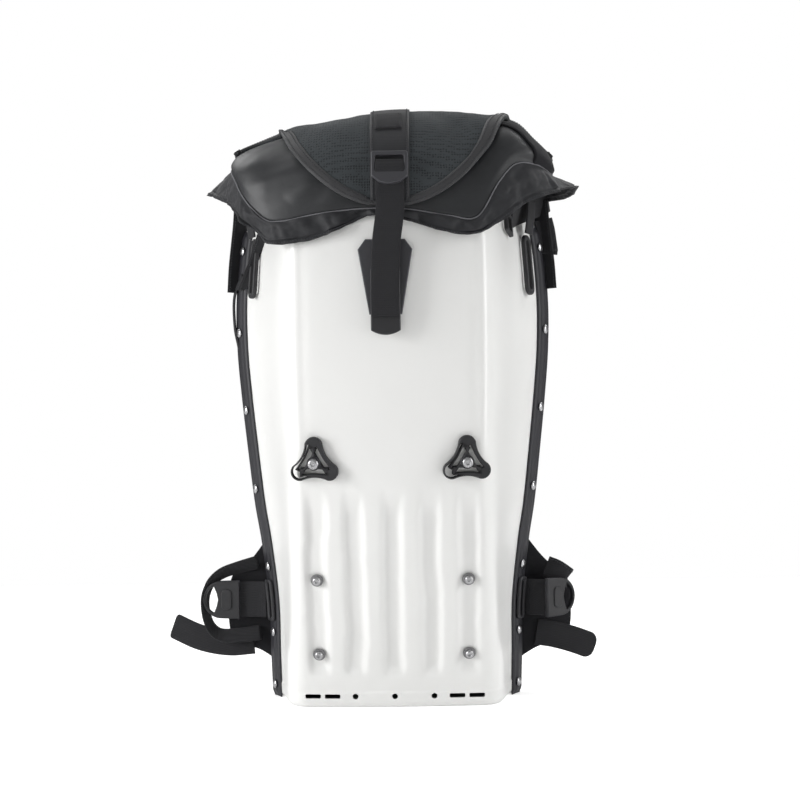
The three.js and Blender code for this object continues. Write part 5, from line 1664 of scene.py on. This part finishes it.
def beside(hand, share, z, lift):
    """A point off the side wall: share 0 is its crease, 1 the rim, and above 1 it runs past the rim."""
    x, y = side_wall(np.array(min(share, 1.0)), np.array(z), -(SEAT + lift))
    return np.array([hand * (float(x) + max(0.0, share - 1) * 0.03), float(y), z])


def layered(name, route, width, wide):
    """Webbing with a row of stitches along one edge."""
    webbing(name, route, width, wide)
    path = smooth_route(route, STRAP_STEPS)
    along = unit(np.gradient(path, axis=0))
    side = unit(wide - along * (along @ np.asarray(wide, float))[:, None])
    rise = np.cross(along, side)
    rise = rise * np.where(rise[:, 1:2] > 0, -1, 1)
    edge = path + side * (width / 2 - 0.0022) + rise * (sizes().webbing_thick / 2 + 0.0001)
    stitches(f"{name}_stitching", edge, rise)


def build_side_straps():
    """Straps, a slide and a fold of webbing that come down from the lid beside the shell."""
    for strap in SIDE_STRAPS:
        route = [beside(strap["hand"], *place) for place in strap["route"]]
        layered(strap["name"], route, strap["width"], strap["wide"])
    share, z = SLIDE_SHARE, SLIDE_HEIGHT
    across = beside(1, share + 0.02, z, 0.001) - beside(1, share - 0.02, z, 0.001)
    up = beside(1, share, z + 0.002, 0.001) - beside(1, share, z - 0.002, 0.001)
    ring = plate(rounded(0.019, 0.021, 0.002), [rounded(0.012, 0.014, 0.001)], 0.004, 0.0011, 3)
    at = beside(1, share, z - 0.0005, 0.0014)
    body = seated(spun(ring, SLIDE_LEAN), at, forward(unit(np.cross(across, up))))
    crisp(piece("strap_slide_right", *body, plastic_finish(), slot="black_plastic"))


def build_hooks():
    z = HOOK_HEIGHT * sizes().shell_height
    for side, hand in SIDES:
        across = beside(hand, 0.81, z, 0) - beside(hand, 0.79, z, 0)
        up = beside(hand, 0.8, z + 0.0005, 0) - beside(hand, 0.8, z - 0.0005, 0)
        normal = forward(unit(np.cross(across, up)))
        at = beside(hand, 0.8, z, 0) + normal * 0.0013
        outline = rounded(0.017, 0.056, 0.0084, 0, 0, 10)
        hole = rounded(0.009, 0.0464, 0.0044, 0, 0, 8)
        body = seated(plate(outline, [hole], 0.0045, 0.0014, 3), at, normal)
        crisp(piece(f"side_ring_{side}", *body, plastic_finish(), [f"side_hook_{side}"], "black_plastic"))
        top = at + [hand * 0.003, -0.002, 0.029]
        webbing(
            f"side_strap_{side}",
            [top, top + [hand * 0.002, 0, 0.014], top + [hand * 0.003, 0, 0.030]],
            0.02,
            np.cross(normal, [0, 0, 1]),
            [f"side_webbing_{side}"],
        )


# Finishes


class Tree:
    """Short ways to add and link the nodes of a shader tree."""

    def __init__(self, tree):
        self.tree = tree

    def add(self, kind, inputs=None, **settings):
        node = self.tree.nodes.new(kind)
        for key, value in settings.items():
            setattr(node, key, value)
        for key, value in (inputs or {}).items():
            socket = node.inputs[key]
            if isinstance(value, bpy.types.NodeSocket):
                self.tree.links.new(value, socket)
            else:
                socket.default_value = value
        return node

    def math(self, operation, a, b=0.0):
        return self.add("ShaderNodeMath", {0: a, 1: b}, operation=operation).outputs[0]

    def noise(self, vector, scale, detail, roughness=0.5):
        inputs = {"Vector": vector, "Scale": scale, "Detail": detail, "Roughness": roughness}
        return self.add("ShaderNodeTexNoise", inputs).outputs["Fac"]

    def placed(self, group, vector, **inputs):
        """Outputs of a node group placed with its own values."""
        return self.add("ShaderNodeGroup", {"Vector": vector, **inputs}, node_tree=group).outputs

    def link(self, a, b):
        self.tree.links.new(a, b)


def shader_group(name, inputs, outputs, fill):
    """A node group with named sockets, made once."""
    group = bpy.data.node_groups.get(name)
    if group:
        return group
    group = bpy.data.node_groups.new(name, "ShaderNodeTree")
    for label, kind, default in inputs:
        socket = group.interface.new_socket(label, in_out="INPUT", socket_type=kind)
        if default is not None:
            socket.default_value = default
    for label, kind in outputs:
        group.interface.new_socket(label, in_out="OUTPUT", socket_type=kind)
    tree = Tree(group)
    start = tree.add("NodeGroupInput")
    end = tree.add("NodeGroupOutput")
    fill(tree, start.outputs, end.inputs)
    return group


FLOAT, VECTOR = "NodeSocketFloat", "NodeSocketVector"


def grain_group():
    """Fine grain of moulded plastic."""

    def fill(tree, given, out):
        fine = tree.noise(given["Vector"], given["Scale"], 4.0)
        cells = tree.add("ShaderNodeTexVoronoi", {"Vector": given["Vector"], "Scale": given["Scale"]})
        pits = tree.math("ADD", cells.outputs["Distance"], 0.5)
        tree.link(tree.math("MULTIPLY", fine, pits), out["Height"])
        broad = tree.math("MULTIPLY", given["Scale"], 0.012)
        tree.link(tree.noise(given["Vector"], broad, 3.0), out["Blotch"])

    inputs = [("Vector", VECTOR, None), ("Scale", FLOAT, 1800.0)]
    return shader_group("Fine Grain", inputs, [("Height", FLOAT), ("Blotch", FLOAT)], fill)


def wear_group():
    """Paler worn edges, from how sharply the surface turns."""

    def fill(tree, given, out):
        shape = tree.add("ShaderNodeNewGeometry")
        edge = tree.add("ShaderNodeMapRange", {0: shape.outputs["Pointiness"], 1: 0.52, 2: 0.6}).outputs[0]
        patchy = tree.noise(given["Vector"], given["Scale"], 5.0)
        tree.link(tree.math("MULTIPLY", edge, patchy), out["Mask"])

    inputs = [("Vector", VECTOR, None), ("Scale", FLOAT, 60.0)]
    return shader_group("Edge Wear", inputs, [("Mask", FLOAT)], fill)


def weave_group():
    """Threads that cross over and under, seen from three sides."""

    def fill(tree, given, out):
        place = tree.add("ShaderNodeSeparateXYZ", {0: given["Vector"]})
        turn = tree.math("DIVIDE", 2 * math.pi, given["Pitch"])
        x, y, z = (tree.math("SINE", tree.math("MULTIPLY", place.outputs[k], turn)) for k in range(3))
        flat = tree.math("MULTIPLY", tree.math("ADD", x, y), z)
        tree.link(tree.math("ADD", tree.math("MULTIPLY", flat, 0.25), 0.5), out["Height"])
        tree.link(tree.noise(given["Vector"], 260.0, 3.0), out["Shade"])

    inputs = [("Vector", VECTOR, None), ("Pitch", FLOAT, 0.0012)]
    return shader_group("Plain Weave", inputs, [("Height", FLOAT), ("Shade", FLOAT)], fill)


def mesh_group():
    """Open spacer mesh with rows of small holes."""

    def fill(tree, given, out):
        spread = {"Vector": given["Vector"], "Scale": given["Scale"], "Randomness": 0.25}
        cells = tree.add("ShaderNodeTexVoronoi", spread)
        hole = tree.add("ShaderNodeMapRange", {0: cells.outputs["Distance"], 1: 0.28, 2: 0.42}).outputs[0]
        tree.link(hole, out["Height"])
        tree.link(tree.noise(given["Vector"], 40.0, 4.0), out["Shade"])

    inputs = [("Vector", VECTOR, None), ("Scale", FLOAT, 420.0)]
    return shader_group("Spacer Mesh", inputs, [("Height", FLOAT), ("Shade", FLOAT)], fill)


def finish(name, base, roughness, fill=None, **settings):
    """A material made once, with fill adding what varies over its surface."""
    material = bpy.data.materials.get(name)
    if material:
        return material
    material = bpy.data.materials.new(name)
    material.use_nodes = True
    tree = Tree(material.node_tree)
    shader = material.node_tree.nodes["Principled BSDF"]
    shader.inputs["Base Color"].default_value = (*base, 1)
    shader.inputs["Roughness"].default_value = roughness
    for key, value in settings.items():
        shader.inputs[key.replace("_", " ")].default_value = value
    place = tree.add("ShaderNodeTexCoord").outputs["Object"]
    if fill:
        fill(tree, shader, place)
    return material


def varied(tree, shader, fac, dark, light):
    """Base colour that runs between two colours."""
    blend = tree.add("ShaderNodeMix", {"Factor": fac}, data_type="RGBA")
    blend.inputs[6].default_value = (*dark, 1)
    blend.inputs[7].default_value = (*light, 1)
    tree.link(blend.outputs[2], shader.inputs["Base Color"])


def ranged(tree, fac, low, high):
    return tree.add("ShaderNodeMapRange", {0: fac, 3: low, 4: high}).outputs[0]


def bumped(tree, shader, height, distance, strength=1.0):
    node = tree.add("ShaderNodeBump", {"Height": height, "Distance": distance, "Strength": strength})
    tree.link(node.outputs[0], shader.inputs["Normal"])


def scaled(base, factor):
    return tuple(min(1.0, c * factor) for c in base)


def shell_finish():
    base = colours().shell

    def fill(tree, shader, place):
        grain = tree.placed(grain_group(), place, Scale=900.0)
        blotch = ranged(tree, grain["Blotch"], 0.0, 1.0)
        varied(tree, shader, blotch, scaled(base, 0.97), scaled(base, 1.02))
        tree.link(ranged(tree, grain["Blotch"], 0.26, 0.4), shader.inputs["Roughness"])
        bumped(tree, shader, grain["Height"], 0.00004, 0.5)

    return finish("Satin White Moulding", base, 0.32, fill, Coat_Weight=0.15, Coat_Roughness=0.2)


def trim_finish():
    base = colours().trim

    def fill(tree, shader, place):
        grain = tree.placed(grain_group(), place)
        varied(tree, shader, grain["Blotch"], scaled(base, 0.8), scaled(base, 1.25))
        tree.link(ranged(tree, grain["Blotch"], 0.42, 0.62), shader.inputs["Roughness"])
        bumped(tree, shader, grain["Height"], 0.00006, 0.6)

    return finish("Moulded Edge Trim", base, 0.5, fill)


def plastic_finish(name="Black Moulded Plastic", lighter=1.0):
    base = scaled(colours().plastic, lighter)

    def fill(tree, shader, place):
        grain = tree.placed(grain_group(), place, Scale=2400.0)
        worn = tree.placed(wear_group(), place)
        varied(tree, shader, worn["Mask"], base, scaled(base, 3.5))
        tree.link(ranged(tree, grain["Blotch"], 0.46, 0.64), shader.inputs["Roughness"])
        bumped(tree, shader, grain["Height"], 0.00005, 0.5)

    return finish(name, base, 0.55, fill)


def satin_finish():
    return plastic_finish("Satin Buckle Plastic", 2.6)


def steel_fill(base, scale, detail, rough, spread):
    def fill(tree, shader, place):
        brushed = tree.noise(place, scale, detail)
        tree.link(ranged(tree, brushed, *rough), shader.inputs["Roughness"])
        varied(tree, shader, brushed, scaled(base, 1 - spread), scaled(base, 1 + spread))

    return fill


def steel_finish():
    base = colours().steel
    fill = steel_fill(base, 500.0, 5.0, (0.2, 0.38), 0.1)
    return finish("Bright Steel", base, 0.28, fill, Metallic=1.0)


def washer_finish():
    base = scaled(colours().steel, 0.5)
    fill = steel_fill(base, 700.0, 4.0, (0.35, 0.55), 0.2)
    return finish("Dull Steel Washer", base, 0.45, fill, Metallic=1.0)


def cloth_fill(base, pitch, height, low=0.75, high=1.3, rough=(0.8, 0.95)):
    def fill(tree, shader, place):
        weave = tree.placed(weave_group(), place, Pitch=pitch)
        shade = tree.math("MULTIPLY", weave["Height"], tree.math("ADD", weave["Shade"], 0.5))
        varied(tree, shader, shade, scaled(base, low), scaled(base, high))
        tree.link(ranged(tree, weave["Shade"], *rough), shader.inputs["Roughness"])
        bumped(tree, shader, weave["Height"], height, 0.8)

    return fill


def webbing_finish():
    base = colours().webbing
    fill = cloth_fill(base, 0.0016, 0.00025, 0.6, 1.5)
    return finish("Black Webbing", base, 0.85, fill, Sheen_Weight=0.06, Specular_IOR_Level=0.3)


def skirt_finish():
    base = colours().skirt
    fill = cloth_fill(base, 0.0011, 0.00012, rough=(0.55, 0.75))
    return finish("Charcoal Cloth", base, 0.65, fill, Sheen_Weight=0.05, Specular_IOR_Level=0.4)


def binding_finish():
    base = colours().binding
    fill = cloth_fill(base, 0.001, 0.0001, 0.8, 1.3, (0.5, 0.7))
    return finish("Binding Tape", base, 0.6, fill, Sheen_Weight=0.1)


def thread_finish():
    base = scaled(colours().skirt, 1.6)
    return finish("Sewing Thread", base, 0.7, cloth_fill(base, 0.0006, 0.00005), Sheen_Weight=0.1)


def padding_finish():
    base = colours().padding
    fill = cloth_fill(base, 0.0014, 0.00018)
    return finish("Padded Cloth", base, 0.9, fill, Sheen_Weight=0.04, Specular_IOR_Level=0.25)


def piping_finish():
    base = colours().piping
    return finish("Grey Piping", base, 0.5, cloth_fill(base, 0.0008, 0.00006), Sheen_Weight=0.1)


def hood_finish():
    base = colours().hood

    def fill(tree, shader, place):
        broad = tree.noise(place, 22.0, 3.0)
        fine = tree.noise(place, 160.0, 5.0, 0.6)
        weave = tree.placed(weave_group(), place, Pitch=0.0009)
        varied(tree, shader, fine, scaled(base, 0.75), scaled(base, 1.35))
        tree.link(ranged(tree, broad, 0.42, 0.6), shader.inputs["Roughness"])
        soft = tree.math("ADD", tree.math("MULTIPLY", broad, 0.8), tree.math("MULTIPLY", fine, 0.2))
        height = tree.math("ADD", soft, tree.math("MULTIPLY", weave["Height"], 0.05))
        bumped(tree, shader, height, 0.0011, 0.5)

    return finish("Coated Hood Cloth", base, 0.42, fill, Coat_Weight=0.06, Coat_Roughness=0.4)


def mesh_finish():
    base = colours().mesh

    def fill(tree, shader, place):
        mesh = tree.placed(mesh_group(), place)
        shade = tree.math("MULTIPLY", mesh["Height"], ranged(tree, mesh["Shade"], 0.6, 1.4))
        varied(tree, shader, shade, scaled(base, 0.5), scaled(base, 1.12))
        tree.link(ranged(tree, mesh["Shade"], 0.8, 0.98), shader.inputs["Roughness"])
        bumped(tree, shader, mesh["Height"], 0.0004, 0.7)

    return finish("Flap Spacer Mesh", base, 0.9, fill, Sheen_Weight=0.05, Specular_IOR_Level=0.25)


# Stage


def build_stage():
    """Pale floor, soft light and a camera at the photograph's angle."""
    scene = bpy.context.scene
    scene.view_settings.view_transform = "Standard"
    floor = bpy.data.meshes.new("floor")
    floor.from_pydata(FLOOR_CORNERS, [], [(0, 1, 2, 3)])
    ground = bpy.data.objects.new("floor", floor)
    scene.collection.objects.link(ground)
    floor.materials.append(floor_finish())
    build_world(scene)
    middle = Vector((float(offset()[0]), float(offset()[1]) - sizes().shell_depth, 0))
    for row in LAMPS:
        light = bpy.data.lights.new(row["name"], "AREA")
        light.energy = row["power"]
        light.shape = "RECTANGLE"
        light.size, light.size_y = row["size"]
        lamp = bpy.data.objects.new(row["name"], light)
        place = Vector(row["place"])
        lamp.location = middle + place
        lamp.rotation_euler = (Vector(LAMP_AIM) - place).to_track_quat("-Z", "Y").to_euler()
        scene.collection.objects.link(lamp)
    lens = bpy.data.cameras.new("camera")
    lens.sensor_width = CAMERA_SENSOR
    lens.lens = CAMERA_LENS
    camera = bpy.data.objects.new("camera", lens)
    across = math.cos(CAMERA_ELEVATION)
    towards = Vector(
        (
            math.sin(CAMERA_AZIMUTH) * across,
            -math.cos(CAMERA_AZIMUTH) * across,
            math.sin(CAMERA_ELEVATION),
        )
    )
    camera.location = middle + Vector(CAMERA_AIM) + towards * CAMERA_AWAY
    turn = (-towards).to_track_quat("-Z", "Y").to_matrix().to_4x4()
    camera.rotation_euler = (turn @ Matrix.Rotation(CAMERA_ROLL, 4, "Z")).to_euler()
    scene.collection.objects.link(camera)
    scene.camera = camera


def floor_finish():
    """A floor that shows near white and gives little light back."""

    def fill(tree, shader, place):
        shown = tree.add("ShaderNodeLightPath").outputs["Is Camera Ray"]
        tree.link(ranged(tree, shown, 0.3, 1.0), shader.inputs["Emission Color"])

    return finish("Pale Floor", (0.8, 0.8, 0.8), 0.9, fill, Emission_Strength=0.55)


def build_world(scene):
    """A white studio that shines less than it shows, with dark bands for metal to mirror."""
    world = bpy.data.worlds.new("Studio")
    world.use_nodes = True
    tree = Tree(world.node_tree)
    background = world.node_tree.nodes["Background"]
    way = tree.add("ShaderNodeTexCoord").outputs["Generated"]
    up = tree.add("ShaderNodeSeparateXYZ", {0: way}).outputs["Z"]
    band = tree.add("ShaderNodeMapRange", {0: up, 1: -0.1, 2: 0.5, 3: 0.13, 4: 0.34}).outputs[0]
    shown = tree.add("ShaderNodeLightPath").outputs["Is Camera Ray"]
    power = tree.add("ShaderNodeMix", {"Factor": shown, "A": band, "B": 1.0}, data_type="FLOAT").outputs[0]
    background.inputs[0].default_value = (1, 1, 1, 1)
    tree.link(power, background.inputs[1])
    scene.world = world


# Operators


def operator(name, label, help_text, build):
    """An operator class that runs one build function."""

    def execute(self, context):
        build()
        return {"FINISHED"}

    return type(
        f"BACKPACK_OT_{name}",
        (bpy.types.Operator,),
        {"bl_idname": f"backpack.{name}", "bl_label": label, "__doc__": help_text, "execute": execute},
    )


OPERATORS = [
    operator("shell", "Shell", "Build the moulded shell with its grooves and holes", build_shell),
    operator("trims", "Edge Trims", "Build the edge trims and their rivets", build_trims),
    operator("back", "Back", "Build the padded back and its cushions", build_back),
    operator("straps", "Shoulder Straps", "Build the shoulder straps and their webbing", build_straps),
    operator("hood", "Hood", "Build the hood with its folds and piping", build_hood),
    operator("skirt", "Skirt", "Build the gathered skirt of the lid", build_skirt),
    operator("flap", "Flap", "Build the mesh flap with its binding", build_flap),
    operator("closure", "Closure", "Build the strip, ladder lock, strap and latch", build_closure),
    operator("knobs", "Knobs", "Build the two knobs with their bolts", build_knobs),
    operator("screws", "Base Screws", "Build the bolts and washers of the lower front", build_screws),
    operator("wings", "Hip Wings", "Build the padded wings of the hip belt", build_wings),
    operator("belt", "Hip Belt", "Build the belt's frames, straps, clips and tails", build_belt),
    operator("hooks", "Side Hooks", "Build the side rings and their straps", build_hooks),
    operator("side_straps", "Side Straps", "Build the straps beside the shell", build_side_straps),
    operator("stage", "Stage", "Set up the floor, lights and camera", build_stage),
]


class BACKPACK_PT_panel(bpy.types.Panel):
    """Sizes, colours and steps of the backpack."""

    bl_label = "Backpack"
    bl_space_type = "VIEW_3D"
    bl_region_type = "UI"
    bl_category = "Backpack"

    def draw(self, context):
        for group in (context.scene.backpack_sizes, context.scene.backpack_colours):
            for name in group.__annotations__:
                self.layout.prop(group, name)
        for step in OPERATORS:
            self.layout.operator(step.bl_idname)


CLASSES = [BackpackSizes, BackpackColours, *OPERATORS, BACKPACK_PT_panel]


def register():
    for item in CLASSES:
        bpy.utils.register_class(item)
    bpy.types.Scene.backpack_sizes = PointerProperty(type=BackpackSizes)
    bpy.types.Scene.backpack_colours = PointerProperty(type=BackpackColours)


def unregister():
    del bpy.types.Scene.backpack_colours
    del bpy.types.Scene.backpack_sizes
    for item in reversed(CLASSES):
        bpy.utils.unregister_class(item)


def main():
    register()
    for step in OPERATORS:
        family, name = step.bl_idname.split(".")
        getattr(getattr(bpy.ops, family), name)()


if __name__ == "__main__":
    main()
